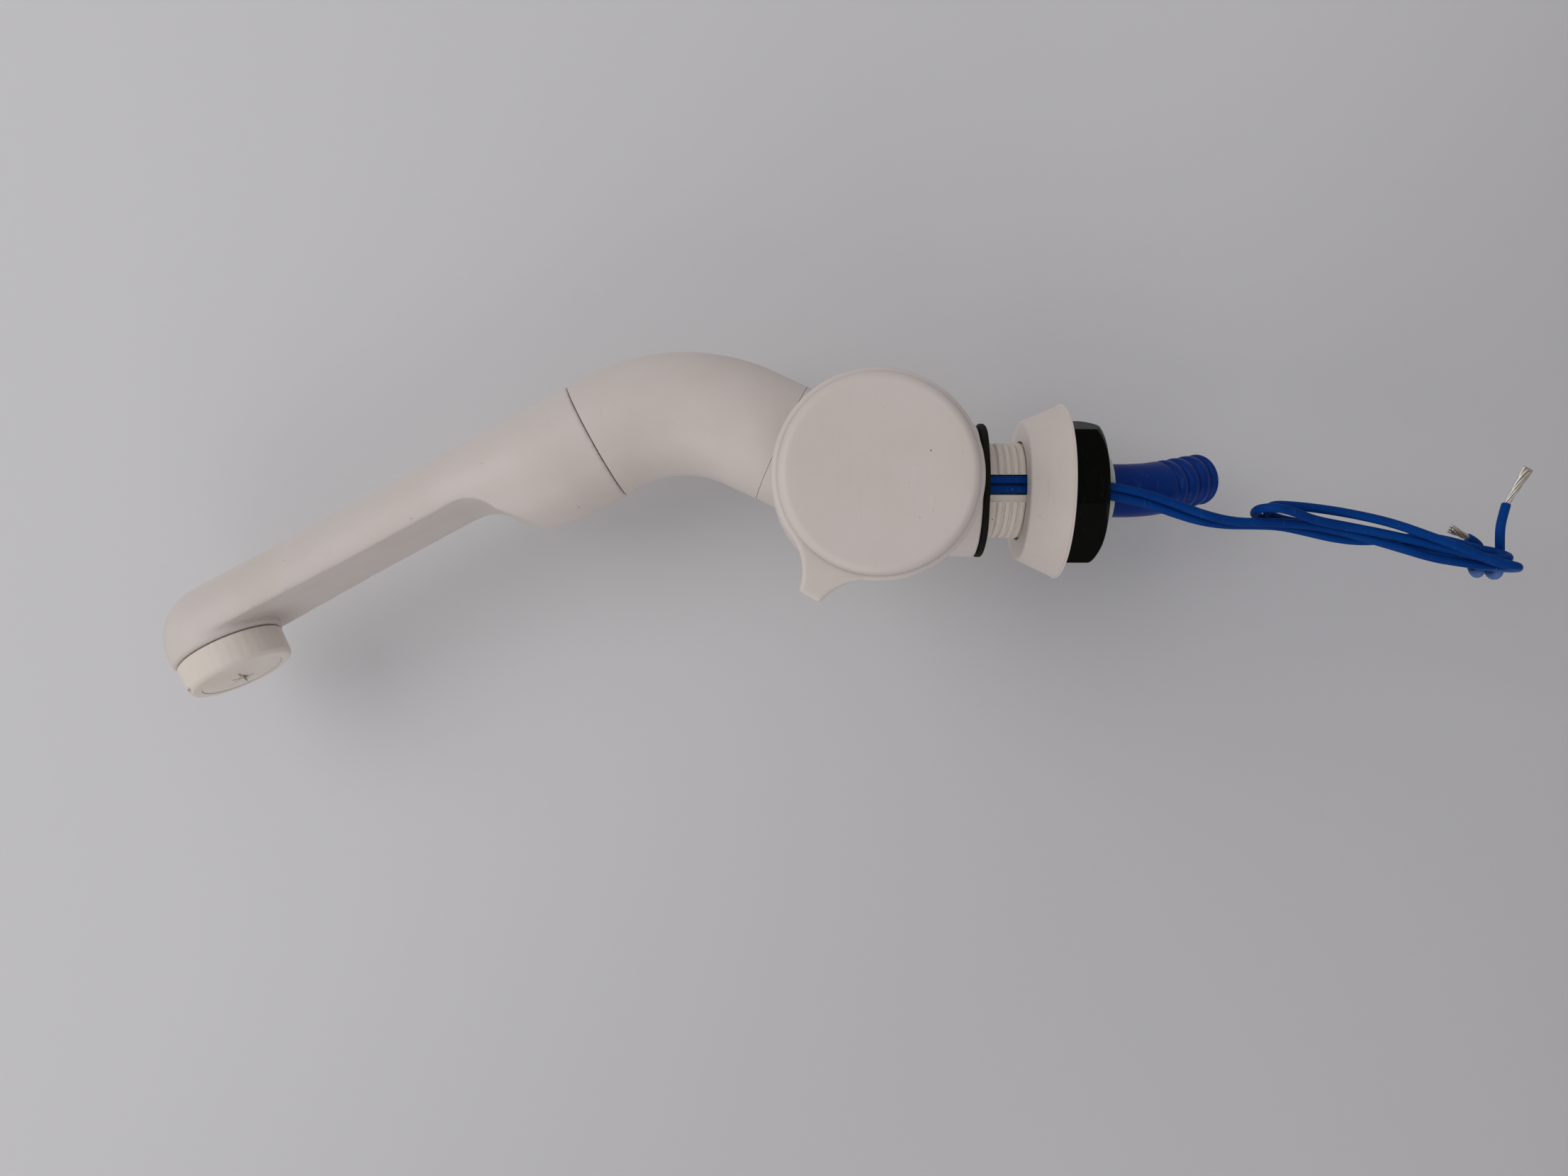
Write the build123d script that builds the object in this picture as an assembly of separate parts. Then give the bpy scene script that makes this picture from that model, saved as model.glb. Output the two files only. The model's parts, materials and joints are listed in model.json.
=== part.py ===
from build123d import *
import os
from math import cos, pi, radians, sin, tan

# Cold-water tap with a folding spout, a side knob and a pump switch.
# Millimetres. +Z runs up the shank. The origin is on the shank's axis in the
# plane of the gasket's underside, which is the top of the worktop. The knob
# faces -Y. The spout lies folded over -X, and reaches over +X when in use.

os.makedirs("parts", exist_ok=True)

# ---------------------------------------------------------------- driving sizes
FIT = 0.05                 # radial clearance of everything that turns or slides

tube_r = 16.8              # swan-neck tube
foot_r = 18.2              # foot of the body
gasket_t = 1.9

neck_tilt = 25.0           # body's upper end, degrees from +Z towards +X
neck_bend_r = 111.0        # centreline radius of the body
neck_straight = 6.1
elbow_in = 9.8             # straight length of the elbow at the lower seam
elbow_bend_r = 41.5
arm_tilt = 28.4            # arm's axis, degrees from +Z towards -X
elbow_out = 5.2
seam_gap = 0.3

spigot_r = 12.0
spigot_len = 13.5
socket_len = 14.0
bore_r = 9.0
wall = 3.0                 # wall of the elbow and the arm

knob_z = 31.8              # knob's axis above the worktop
boss_r = 22.2
boss_y = -26.4             # front face of the boss
chamber_r = 19.8           # dry chamber behind the knob
chamber_floor_y = -20.4
cover_face_y = -54.0
cover_face_r = 23.4
cover_base_r = 23.8
lever_y = -30.2            # front of the lever's web, deep inside its skirt
rim_y = -50.4              # front edge of the lever's skirt
lever_r = 25.2
lever_bore_r = 22.7
pointer_angle = 150.7      # seen from the front, counter-clockwise from +X
pointer_r = 33.1
spindle_r = 3.8
spindle_flat = 3.0         # half the spindle's width over its flats
cam_r = 9.6
cam_rise = 0.6             # cam's offset, which is the switch button's travel
cam_gap = 0.2              # between cam and button, which keeps clear all the way round
button_r = 1.2
button_y = -23.2
terminal_y = -17.4         # back ends of the switch's two tags
lead_x = {"lead_a": 2.05, "lead_b": -0.5}

thread_r = 13.0            # shank thread, M26 x 2
thread_pitch = 2.0
thread_depth = 1.1
shank_end = -31.0
slot_w = 6.6
slot_y = -10.15            # floor of the wire slot

collar_top = -9.75
collar_bottom = -20.6
collar_r1 = 19.0
collar_r2 = 23.8
nut_bottom = -31.1
nut_af = 36.0
nut_turn = -43.5           # one corner of the hexagon, degrees from +X

tail_r = 7.3
tail_bore_r = 4.6
tail_swing = 20.0          # lean of the tail, degrees from +Y towards +X
tail_angle = 32.0
tail_bend_r = 20.0
tail_bend_z = -38.7
barb_pitch = 4.6
barb_r = 7.15
barb_root_r = 6.5
tail_tip = 17.6            # barbed length past the bend

arm_roll = 6.5             # lean of the outlet towards the knob's side
arm_r = 13.3               # arm's section at its slimmest
head_r = 15.0
head_s = 115.8             # outlet axis, along the arm from the seam
flat_x = -0.4              # underside of the arm, below its axis
cap_r = 14.2
cap_top = 2.3
cap_face = 10.2

wire_d = 2.4
strands_r = 0.85           # bare copper at the wires' ends


# ---------------------------------------------------------------- helpers
def along_z(r, z0, z1, x=0.0, y=0.0):
    return Pos(x, y, (z0 + z1) / 2) * Cylinder(r, abs(z1 - z0))


def along_y(r, y0, y1, x=0.0, z=0.0):
    return Pos(x, (y0 + y1) / 2, z) * (Rot(90, 0, 0) * Cylinder(r, abs(y1 - y0)))


def along_x(r, x0, x1, y=0.0, z=0.0):
    return Pos((x0 + x1) / 2, y, z) * (Rot(0, 90, 0) * Cylinder(r, abs(x1 - x0)))


def ring_z(r_in, r_out, z0, z1):
    return along_z(r_out, z0, z1) - along_z(r_in, z0 - 1, z1 + 1)


def block(x0, x1, y0, y1, z0, z1):
    size = (x1 - x0, y1 - y0, z1 - z0)
    return Pos((x0 + x1) / 2, (y0 + y1) / 2, (z0 + z1) / 2) * Box(*size)


def turned(*points):
    """A solid of revolution about Z from (radius, height) points."""
    outline = Polyline(*points, close=True)
    return revolve(Plane.XZ * make_face(outline), Axis.Z)


def cross_plate(outline, half_width):
    """An outline in X and Z, given thickness to both sides along Y."""
    return extrude(Plane.XZ * make_face(outline), half_width, both=True)


def unit(angle_from_z, towards=1):
    t = radians(angle_from_z)
    return Vector(towards * sin(t), 0, cos(t))


def put(plane, shape):
    return plane.location * shape


# ---------------------------------------------------------------- frames
neck_dir = unit(neck_tilt)
arm_dir = unit(arm_tilt, -1)

neck_turn = radians(neck_tilt)
neck_bend_end = Vector(
    neck_bend_r * (1 - cos(neck_turn)), 0, gasket_t + neck_bend_r * sin(neck_turn)
)
seam_1 = neck_bend_end + neck_dir * neck_straight

elbow_start = seam_1 + neck_dir * elbow_in
elbow_centre = elbow_start + Vector(-cos(neck_turn), 0, sin(neck_turn)) * elbow_bend_r
elbow_end = elbow_centre + Vector(cos(radians(arm_tilt)), 0, sin(radians(arm_tilt))) * elbow_bend_r
elbow_mid = elbow_centre + Vector(1, 0, 0) * elbow_bend_r
seam_2 = elbow_end + arm_dir * elbow_out

roll = radians(arm_roll)
down_flat = Vector(-cos(radians(arm_tilt)), 0, -sin(radians(arm_tilt)))
outlet_dir = down_flat * cos(roll) + Vector(0, -1, 0) * sin(roll)

KNOB = Plane(origin=(0, 0, knob_z), x_dir=(1, 0, 0), z_dir=(0, -1, 0))
SEAM_1 = Plane(origin=seam_1, x_dir=(cos(neck_turn), 0, -sin(neck_turn)), z_dir=neck_dir)
SEAM_2 = Plane(origin=seam_2, x_dir=outlet_dir, z_dir=arm_dir)
OUTLET = Plane(origin=seam_2 + arm_dir * head_s, x_dir=arm_dir, z_dir=outlet_dir)

lean = radians(tail_angle)
swing = radians(tail_swing)
tail_side = Vector(sin(swing), cos(swing), 0)
tail_dir = tail_side * sin(lean) + Vector(0, 0, -cos(lean))
tail_bend_mid = (
    tail_side * (tail_bend_r * (1 - cos(lean / 2)))
    + Vector(0, 0, tail_bend_z - tail_bend_r * sin(lean / 2))
)
tail_bend_end = (
    tail_side * (tail_bend_r * (1 - cos(lean)))
    + Vector(0, 0, tail_bend_z - tail_bend_r * sin(lean))
)
TAIL = Plane(origin=tail_bend_end, x_dir=(-cos(swing), sin(swing), 0), z_dir=tail_dir)

parts = {}


# ---------------------------------------------------------------- body and shank
def neck_sections():
    """Circles up the body: a foot that narrows into the swan-neck tube."""
    arc_len = neck_bend_r * neck_turn
    sections = []
    for s, r in ((0, foot_r), (5, foot_r), (12, 17.9), (20, 17.2), (28, tube_r),
                 (36, tube_r), (44, tube_r), (arc_len, tube_r), (arc_len + neck_straight, tube_r)):
        turn = min(s, arc_len) / neck_bend_r
        over = max(0.0, s - arc_len)
        at = Vector(neck_bend_r * (1 - cos(turn)), 0, gasket_t + neck_bend_r * sin(turn))
        heading = Vector(sin(turn), 0, cos(turn))
        plane = Plane(origin=at + heading * over, x_dir=(cos(turn), 0, -sin(turn)), z_dir=heading)
        sections.append(plane * Circle(r))
    return sections


def valve_housing():
    neck = loft(neck_sections())
    boss = put(KNOB, turned((0, 3), (13.5, 3), (boss_r, 17), (boss_r, -boss_y - 0.8),
                            (boss_r - 0.8, -boss_y), (0, -boss_y)))
    shape = neck + boss
    # dry chamber for cam and switch, and the wet bore for the cartridge
    shape -= along_y(chamber_r, boss_y - 1, chamber_floor_y, z=knob_z)
    shape -= along_y(10.5, boss_y - 1, -17.4, z=knob_z)
    shape -= along_y(8.5, boss_y - 1, 0, z=knob_z)
    shape -= along_y(6.0, -1, 9.0, z=knob_z)
    # water way in from the shank and out to the elbow
    shape -= along_z(4.2, gasket_t - 1, knob_z, y=4.3)
    shape -= put(SEAM_1, along_z(4.5, -26, -10, y=-7.0))
    shape -= put(SEAM_1, along_z(spigot_r + FIT, -socket_len, 5))
    shape -= put(SEAM_1, along_z(13.5, -11.1, -8.7))
    # seat of the shank, and the dry channel for the two wires
    shape -= along_z(12.0, gasket_t - 1, 9.0)
    shape -= block(-2.6, 3.8, -13.4, -9.9, gasket_t - 1, 18.2)
    shape -= block(-2.6, 3.8, chamber_floor_y - 1, -9.9, 13.8, 18.2)
    return shape


def threaded_shank():
    """Moulded shank: spigot into the body, thread, wire slot and stepped bore."""
    root = thread_r - thread_depth
    points = [(0, 8.9), (11.95, 8.9), (11.95, 0.6), (thread_r - 0.15, 0.6), (thread_r - 0.15, -1.4)]
    z = -1.4
    while z - thread_pitch > shank_end:
        points += [(root, z - 0.45), (root, z - 0.75), (thread_r, z - 1.25), (thread_r, z - 1.75)]
        z -= thread_pitch
    points += [(root, z - 0.3), (root, shank_end), (0, shank_end)]
    shape = turned(*points)
    shape -= block(-slot_w / 2, slot_w / 2, -14.5, slot_y, shank_end - 1, 9.5)
    shape -= along_z(4.2, -12, 9.5, y=4.3)
    shape -= along_z(6.25, -17, -11)
    shape -= along_z(9.0, shank_end - 1, -17)
    return shape


def base_gasket():
    lip_r = foot_r + 0.2
    return turned((13.7, 0), (lip_r - 0.3, 0), (lip_r, 0.5), (lip_r, 1.1),
                  (lip_r - 0.4, gasket_t), (13.7, gasket_t))


parts["valve_housing"] = valve_housing()
parts["threaded_shank"] = threaded_shank()
parts["base_gasket"] = base_gasket()


# ---------------------------------------------------------------- valve
def cartridge_body():
    shape = along_y(8.4, -17.35, -1.2, z=knob_z)
    shape -= along_y(3.85, -20, 0, z=knob_z)
    shape -= along_y(6.5, -9.0, 0, z=knob_z)
    shape -= along_x(2.0, -10, 10, y=-6.4, z=knob_z)
    shape -= along_z(2.0, knob_z, knob_z + 10, y=-6.4)
    groove = along_y(9, -15.6, -13.8, z=knob_z) - along_y(7.2, -16, -13, z=knob_z)
    return shape - groove


def ring_y(r_in, r_out, y0, y1):
    return along_y(r_out, y0, y1, z=knob_z) - along_y(r_in, y0 - 1, y1 + 1, z=knob_z)


def gland_nut():
    """Screwed ring that holds the cartridge down, with four spanner notches."""
    shape = ring_y(4.3, 10.45, chamber_floor_y + 0.2, -17.4)
    for turn in range(4):
        notch = put(KNOB, Rot(0, 0, 90 * turn) * block(7.6, 11, -1.2, 1.2, 19.0, 22))
        shape -= notch
    return shape


def on_knob_axis(r, y0, y1):
    return along_y(r, y0, y1, z=knob_z)


def valve_spindle():
    shape = on_knob_axis(spindle_r, -42.0, -8.4) + on_knob_axis(6.0, -8.8, -5.4)
    shape -= ring_y(2.9, 5, -13.6, -12.0)
    for side in (-1, 1):
        y0, y1 = sorted((side * spindle_flat, side * 5))
        shape -= put(KNOB, block(-4, 4, y0, y1, 20.6, 43))
    return shape - on_knob_axis(1.25, -43, -33)


def keyed_hole(z0, z1):
    """Hole for the spindle's two flats, in the knob's own frame."""
    half = spindle_flat + 0.03
    return along_z(spindle_r + 0.03, z0, z1) & block(-5, 5, -half, half, z0 - 1, z1 + 1)


def moving_disc():
    disc = on_knob_axis(6.3, -5.35, -3.35)
    port = on_knob_axis(4.6, -6, -3) & put(KNOB, block(-8, 8, 1.0, 8, 2, 7))
    return disc - port


def fixed_disc():
    disc = on_knob_axis(6.45, -3.3, -1.25)
    port = on_knob_axis(4.6, -4, -1) & put(KNOB, block(-8, -1.0, -8, 8, 0, 5))
    return disc - port


parts["cartridge_body"] = cartridge_body()
parts["cartridge_oring"] = ring_y(7.25, 8.45, -15.5, -13.9)
parts["cartridge_seat_seal"] = ring_y(4.2, 8.3, -1.2, 0.0)
parts["gland_nut"] = gland_nut()
parts["valve_spindle"] = valve_spindle()
parts["spindle_oring"] = ring_y(2.92, 3.82, -13.5, -12.1)
parts["moving_disc"] = moving_disc()
parts["fixed_disc"] = fixed_disc()


# ---------------------------------------------------------------- switch
def switch_cam():
    """Round cam set off its shaft by the switch's travel, keyed to the spindle."""
    disc = along_y(cam_r, -25.0, -20.8, x=cam_rise, z=knob_z)
    return disc - put(KNOB, keyed_hole(19, 27))


def switch_case():
    shape = block(-6.4, 6.4, -26.2, chamber_floor_y - 0.05, 13.9, 20.4)
    for x in (-3.4, 3.4):
        shape -= along_y(0.9, -27, -20, x=x, z=15.4)
    return shape - along_z(button_r + 0.1, 18.6, 21, y=button_y)


def terminal(x):
    return block(x - 0.9, x + 0.9, chamber_floor_y - 0.05, terminal_y, 15.75, 16.25)


parts["switch_cam"] = switch_cam()
parts["switch_case"] = switch_case()
parts["switch_button"] = along_z(button_r, 19.2, knob_z - cam_r - cam_gap, y=button_y)
parts["switch_terminals"] = terminal(lead_x["lead_a"]) + terminal(lead_x["lead_b"])
parts["chamber_cover"] = ring_y(4.2, boss_r - 0.6, boss_y - 0.75, boss_y)


# ---------------------------------------------------------------- knob
def pointer_outline():
    """Concave-sided tab, in the lever's own X and Y with the tab along +X."""
    tip_half = 2.85
    flank_start = (22.9, 10.1)
    flank_mid = (26.4, 5.85)
    tip = (pointer_r, tip_half)
    lines = [
        ThreePointArc(flank_start, flank_mid, tip),
        Line(tip, (pointer_r, -tip_half)),
        ThreePointArc((pointer_r, -tip_half), (flank_mid[0], -flank_mid[1]),
                      (flank_start[0], -flank_start[1])),
        Line((flank_start[0], -flank_start[1]), flank_start),
    ]
    return Curve() + lines


def knob_lever():
    """Deep skirt with the pointer tab at its front edge, on a web with a splined hub."""
    web, rim = -lever_y, -rim_y
    skirt = turned((5.5, web - 2.6), (lever_bore_r, web - 2.6), (lever_bore_r, web - 7.8),
                   (lever_r - 0.4, web - 7.8), (lever_r, web - 7.4), (lever_r, rim - 0.8),
                   (lever_r - 0.8, rim), (lever_bore_r, rim), (lever_bore_r, web), (5.5, web))
    tab = Pos(0, 0, rim - 3.8) * extrude(make_face(pointer_outline()), 3.8)
    tab = Rot(0, 0, pointer_angle) * tab
    tab -= along_z(lever_bore_r, rim - 9, rim + 1)
    hub = along_z(7.0, web - 2.6, 44.4)
    crown = along_z(21.2, web - 0.4, 44.0) - along_z(19.4, web - 5, 45)
    ribs = block(-20, 20, -0.8, 0.8, web - 0.4, 41) + block(-0.8, 0.8, -20, 20, web - 0.4, 41)
    shape = skirt + tab + hub + crown + ribs
    shape -= keyed_hole(20, 42.1)
    shape -= along_z(1.8, 40, 46)
    shape -= along_z(5.4, web - 8, web - 2.6)
    return put(KNOB, shape)


def knob_cover():
    """Plain cap whose spigot snaps into the lever's skirt."""
    face, base = -cover_face_y, -rim_y + 0.1
    edge = 2.1
    outer = Polyline((0, base), (cover_base_r, base), (cover_face_r, face - edge))
    corner = RadiusArc((cover_face_r, face - edge), (cover_face_r - edge, face), -edge)
    top = Polyline((cover_face_r - edge, face), (0, face), (0, base))
    cap = revolve(Plane.XZ * make_face(Curve() + [outer, corner, top]), Axis.Z)
    spigot = along_z(lever_bore_r - FIT, 44.6, base + 0.5)
    hollow = along_z(lever_bore_r - FIT - 2.0, 44, face - 2.0)
    return put(KNOB, cap + spigot - hollow)


def knob_screw():
    head = along_z(3.4, 44.45, 46.8) - along_z(1.5, 45.6, 47)
    return put(KNOB, head + along_z(1.2, 34, 44.45))


parts["knob_lever"] = knob_lever()
parts["knob_cover"] = knob_cover()
parts["knob_screw"] = knob_screw()


# ---------------------------------------------------------------- elbow
def elbow_arc():
    return ThreePointArc(elbow_start, elbow_mid, elbow_end)


def elbow_path(before, after):
    a = seam_1 + neck_dir * before
    b = seam_2 + arm_dir * after
    return Curve() + [Line(a, elbow_start), elbow_arc(), Line(elbow_end, b)]


def swept(path, r):
    return sweep(Plane(origin=path @ 0, z_dir=path % 0) * Circle(r), path=path)


def spigot(plane, sign):
    """Turned end of the elbow with grooves for its seal and its clip."""
    z0, z1 = sorted((-sign, sign * spigot_len))
    shape = along_z(spigot_r, z0, z1)
    seal = sorted((sign * 3.0, sign * 5.0))
    clip = sorted((sign * 9.2, sign * 10.6))
    shape -= ring_z(10.4, 13, *seal)
    shape -= ring_z(10.9, 13, *clip)
    return put(plane, shape)


def elbow_tube():
    shape = swept(elbow_path(seam_gap / 2, -seam_gap / 2), tube_r)
    shape += spigot(SEAM_1, -1) + spigot(SEAM_2, 1)
    shape -= swept(elbow_path(-spigot_len - 1, spigot_len + 1), bore_r)
    return shape - swept(Curve() + [elbow_arc()], tube_r - wall)


def spring_clip(plane, sign):
    z0, z1 = sorted((sign * 9.3, sign * 10.5))
    ring = ring_z(10.95, 13.2, z0, z1) - block(8, 15, -3.5, 3.5, -20, 20)
    return put(plane, ring)


def seal_ring(plane, sign):
    z0, z1 = sorted((sign * 3.05, sign * 4.95))
    return put(plane, ring_z(10.45, spigot_r + 0.02, z0, z1))


parts["elbow_tube"] = elbow_tube()
parts["lower_oring"] = seal_ring(SEAM_1, -1)
parts["lower_clip"] = spring_clip(SEAM_1, -1)
parts["upper_oring"] = seal_ring(SEAM_2, 1)
parts["upper_clip"] = spring_clip(SEAM_2, 1)


# ---------------------------------------------------------------- spout arm
def arm_radius(s):
    """Full tube at the socket, slimmer in the middle, and head_r at the outlet."""
    def ease(start, end):
        t = min(1.0, max(0.0, (s - start) / (end - start)))
        return t * t * (3 - 2 * t)
    return tube_r + (arm_r - tube_r) * ease(10, 48) + (head_r - arm_r) * ease(66, head_s)


def arm_form(inset, s_from):
    """Outside of the arm, or its hollow when inset by the wall."""
    count = 20
    sections = []
    for k in range(count + 1):
        s = s_from + (head_s - s_from) * k / count
        r = arm_radius(s)
        sections.append(Plane(origin=(r - tube_r, 0, s)) * Circle(r - inset))
    ball = Pos(head_r - tube_r, 0, head_s) * Sphere(head_r - inset)
    return loft(sections) + ball


def underside_cut(shift):
    """What is cut away below the arm: a flat, a cove and a rounded shoulder."""
    low, high, far = 17.2, 40, 150
    edges = [
        Line((flat_x, far), (flat_x, 41)),
        TangentArc((flat_x, 41), (6.5, 31.2), tangent=(0, -1)),
        Line((6.5, 31.2), (12.2, 25.8)),
        TangentArc((12.2, 25.8), (tube_r + 0.1, low), tangent=(1, -0.95)),
        Line((tube_r + 0.1, low), (high, low)),
        Line((high, low), (high, far)),
        Line((high, far), (flat_x, far)),
    ]
    return Pos(-shift, 0, -shift) * cross_plate(Curve() + edges, 30)


def spout_arm():
    shape = arm_form(0, seam_gap / 2) - underside_cut(0)
    shape += along_x(head_r, head_r - tube_r, cap_top - 0.8, z=head_s)
    shape += along_x(head_r - 0.5, cap_top - 1, cap_top - 0.3, z=head_s)
    shape += along_x(12.3, 0, 6.2, z=head_s)
    shape -= arm_form(wall, socket_len + 3) - underside_cut(wall)
    shape -= along_z(spigot_r + FIT, -1, 14.2)
    shape -= along_z(13.5, 8.7, 11.1)
    shape -= along_z(6.5, 10, socket_len + 8, x=-2.0)
    shape -= along_x(8.2, -6, 8, z=head_s)
    return put(SEAM_2, shape)


parts["spout_arm"] = spout_arm()


# ---------------------------------------------------------------- outlet
def aerator_cap():
    outer = turned((0, cap_top), (cap_r - 0.3, cap_top), (cap_r, cap_top + 0.3),
                   (cap_r, cap_face - 1.2), (cap_r - 1.2, cap_face), (0, cap_face))
    outer -= along_z(12.5, cap_top - 1, 9.3)
    outer -= along_z(10.9, 8, cap_face + 1)
    for turn in (0, 180):
        outer -= Rot(0, 0, turn) * block(12.4, 15, -2.0, 2.0, cap_face - 1.6, cap_face + 1)
    return put(OUTLET, outer)


def aerator_insert():
    shape = along_z(12.3, 7.35, 9.25) + along_z(10.7, 9.0, 9.95)
    shape -= along_z(1.0, 5, 12)
    for count, radius in ((6, 3.4), (12, 6.4), (18, 9.2)):
        for k in range(count):
            a = 2 * pi * k / count
            shape -= along_z(0.85, 5, 12, x=radius * cos(a), y=radius * sin(a))
    return put(OUTLET, shape)


parts["aerator_cap"] = aerator_cap()
parts["aerator_insert"] = aerator_insert()
parts["aerator_washer"] = put(OUTLET, ring_z(8.6, 12.2, 6.25, 7.3))


# ---------------------------------------------------------------- worktop fixing
def counter_collar():
    """Hollow cone between worktop and nut, stiffened by eight ribs."""
    outer = turned((0, collar_top), (collar_r1 - 0.4, collar_top), (collar_r1, collar_top - 0.4),
                   (collar_r2, collar_bottom + 0.9), (collar_r2, collar_bottom), (0, collar_bottom))
    hollow = turned((15.6, collar_bottom - 1), (22.2, collar_bottom - 1), (21.9, collar_bottom + 1.5),
                    (18.2, collar_top - 2.6), (15.6, collar_top - 2.6))
    for k in range(8):
        hollow -= Rot(0, 0, 45 * k + 22.5) * block(14, 25, -0.8, 0.8, collar_bottom, collar_top)
    return outer - hollow - along_z(thread_r + 0.4, -30, 0)


def locking_nut():
    hexagon = RegularPolygon(nut_af / 2, 6, major_radius=False)
    corner_r = nut_af / 2 / cos(pi / 6)
    top = collar_bottom - FIT
    bar = extrude(Rot(0, 0, nut_turn) * hexagon, nut_bottom - top)
    blank = Pos(0, 0, top) * bar
    dome = turned((0, top), (corner_r - 0.6, top), (corner_r + 0.1, top - 0.7),
                  (corner_r + 0.1, nut_bottom + 2.2), (nut_af / 2 - 0.4, nut_bottom), (0, nut_bottom))
    return (blank & dome) - along_z(thread_r + FIT, -40, 0)


parts["counter_collar"] = counter_collar()
parts["locking_nut"] = locking_nut()


# ---------------------------------------------------------------- hose tail
def tail_bush():
    shape = along_z(10.1, -34.7, shank_end - 0.05) + along_z(8.95, shank_end - 0.05, -22.0)
    return shape - along_z(tail_r + FIT, -40, -10)


def barbed_end():
    points = [(0, 0), (tail_r, 0), (barb_root_r, 0.7)]
    for k in range(4):
        s = 1.0 + barb_pitch * k
        points += [(barb_root_r, s), (barb_r, s + 0.05), (barb_r, s + 0.6)]
        if k < 3:
            points += [(barb_root_r, s + barb_pitch - 0.5)]
    points += [(5.9, tail_tip), (0, tail_tip)]
    return put(TAIL, turned(*points))


def hose_tail():
    bend = Curve() + [
        Line((0, 0, -20), (0, 0, tail_bend_z)),
        ThreePointArc((0, 0, tail_bend_z), tail_bend_mid, tail_bend_end),
    ]
    end = tail_bend_end + tail_dir * (tail_tip + 1)
    whole = Curve() + [
        Line((0, 0, -11), (0, 0, tail_bend_z)),
        ThreePointArc((0, 0, tail_bend_z), tail_bend_mid, tail_bend_end),
        Line(tail_bend_end, end),
    ]
    shape = swept(bend, tail_r) + barbed_end()
    shape += along_z(8.6, -21.95, -19.9) + along_z(6.2, -20, -12.2)
    shape -= ring_z(5.2, 8, -17.2 + 0.9, -14.6)
    return shape - swept(whole, tail_bore_r)


parts["tail_bush"] = tail_bush()
parts["hose_tail"] = hose_tail()
parts["tail_oring"] = ring_z(5.22, 6.22, -16.2, -14.7)


# ---------------------------------------------------------------- wires
def wire(points, radii):
    path = FilletPolyline(*points, radius=radii)
    return sweep(Plane(origin=path @ 0, z_dir=path % 0) * Circle(wire_d / 2), path=path)


def bend_radii(points):
    """The largest arc that each corner's two runs allow."""
    radii = []
    for a, b, c in zip(points, points[1:], points[2:]):
        run = min((b - a).length, (c - b).length)
        turn = radians((b - a).get_angle(c - b))
        radii.append(0.45 * run / tan(turn / 2))
    return radii


slot_mid_y = -11.5         # the wires' line in the shank's slot
for name, x_end in (("lead_a", 0.4), ("lead_b", -2.05)):
    x_top = lead_x[name]
    route = [Vector(x_top, terminal_y, 16), Vector(x_top, slot_mid_y, 16),
             Vector(x_top, slot_mid_y, -9), Vector(x_end, slot_mid_y, -31.3)]
    parts[name] = wire(route, [4.0, 60.0])

wire_a_route = [Vector(*p) for p in (
    (0.4, -11.5, -31.3), (-0.9, -11.5, -38.6), (-2.7, -11.7, -44.9), (-4.9, -12.0, -50.9),
    (-7.6, -12.2, -58.1), (-9.3, -12.2, -65.8), (-9.3, -12.0, -73.5))]
wire_b_route = [Vector(*p) for p in (
    (-2.05, -11.5, -31.3), (-3.4, -11.3, -38.6), (-5.2, -10.9, -45.1), (-7.2, -10.4, -51.0),
    (-9.0, -10.0, -57.2), (-9.9, -9.7, -64.0), (-9.9, -9.6, -71.0))]
for name, route in (("wire_a", wire_a_route), ("wire_b", wire_b_route)):
    radii = bend_radii(route)
    print(name, "bend radii", [round(r, 1) for r in radii])
    parts[name] = wire(route, radii)


def wire_hank():
    """Outer shape of the two wires' folded turns, as ellipses down the hank."""
    sections = []
    for x, y, z, half_x, half_y in (
            (-6.4, -11.8, -68.6, 1.6, 2.6), (-7.2, -10.8, -75.0, 3.8, 5.6),
            (-8.4, -9.8, -83.0, 4.6, 6.6), (-10.4, -9.2, -95.0, 5.1, 6.2),
            (-12.9, -9.2, -107.0, 5.0, 6.2), (-15.6, -9.8, -118.0, 5.0, 6.4),
            (-18.4, -10.2, -128.0, 4.6, 6.8), (-20.4, -10.0, -135.0, 4.2, 7.2),
            (-21.0, -10.0, -140.0, 2.4, 6.2)):
        plane = Plane(origin=(x, y, z), x_dir=(1, 0, 0), z_dir=(0, 0, -1))
        sections.append(plane * Ellipse(half_x, half_y))
    return loft(sections)


parts["wire_hank"] = wire_hank()

wire_end_a_route = [Vector(*p) for p in (
    (-17.8, -6.2, -138.0), (-13.9, -6.6, -136.9), (-9.6, -7.4, -137.1), (-6.2, -8.0, -138.7),
    (-4.4, -8.4, -139.4))]
wire_end_b_route = [Vector(*p) for p in (
    (-20.1, -3.6, -138.2), (-17.1, -3.8, -137.4), (-14.4, -4.6, -134.0), (-13.1, -5.2, -131.7))]
for name, route, tip in (("a", wire_end_a_route, Vector(5.2, -10.4, -144.2)),
                         ("b", wire_end_b_route, Vector(-10.5, -6.6, -125.1))):
    parts["wire_end_" + name] = wire(route, bend_radii(route))
    parts["bare_tip_" + name] = swept(Line(route[-1], tip), strands_r)


for name, shape in parts.items():
    solids = shape.solids()
    part = solids[0] if len(solids) == 1 else Compound(children=list(solids))
    part.label = name
    export_step(part, f"parts/{name}.step")
print(len(parts), "nodes written")
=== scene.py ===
# %% [markdown]
# # A folding water tap
# A white plastic cold-water tap of the kind that is fitted in caravans and boats. Its spout folds
# over on two swivels, a round knob with a pointer opens the valve, and two blue wires of a pump
# switch leave through a slot in the threaded shank. Below are a cone collar, a black nut and a
# blue barbed tail for the hose.
#
# The engineering model is loaded first and never changed. It says where everything is and what
# moves with what. This script adds the looks: finishes, softer mouldings, a true thread and wires.

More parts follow.
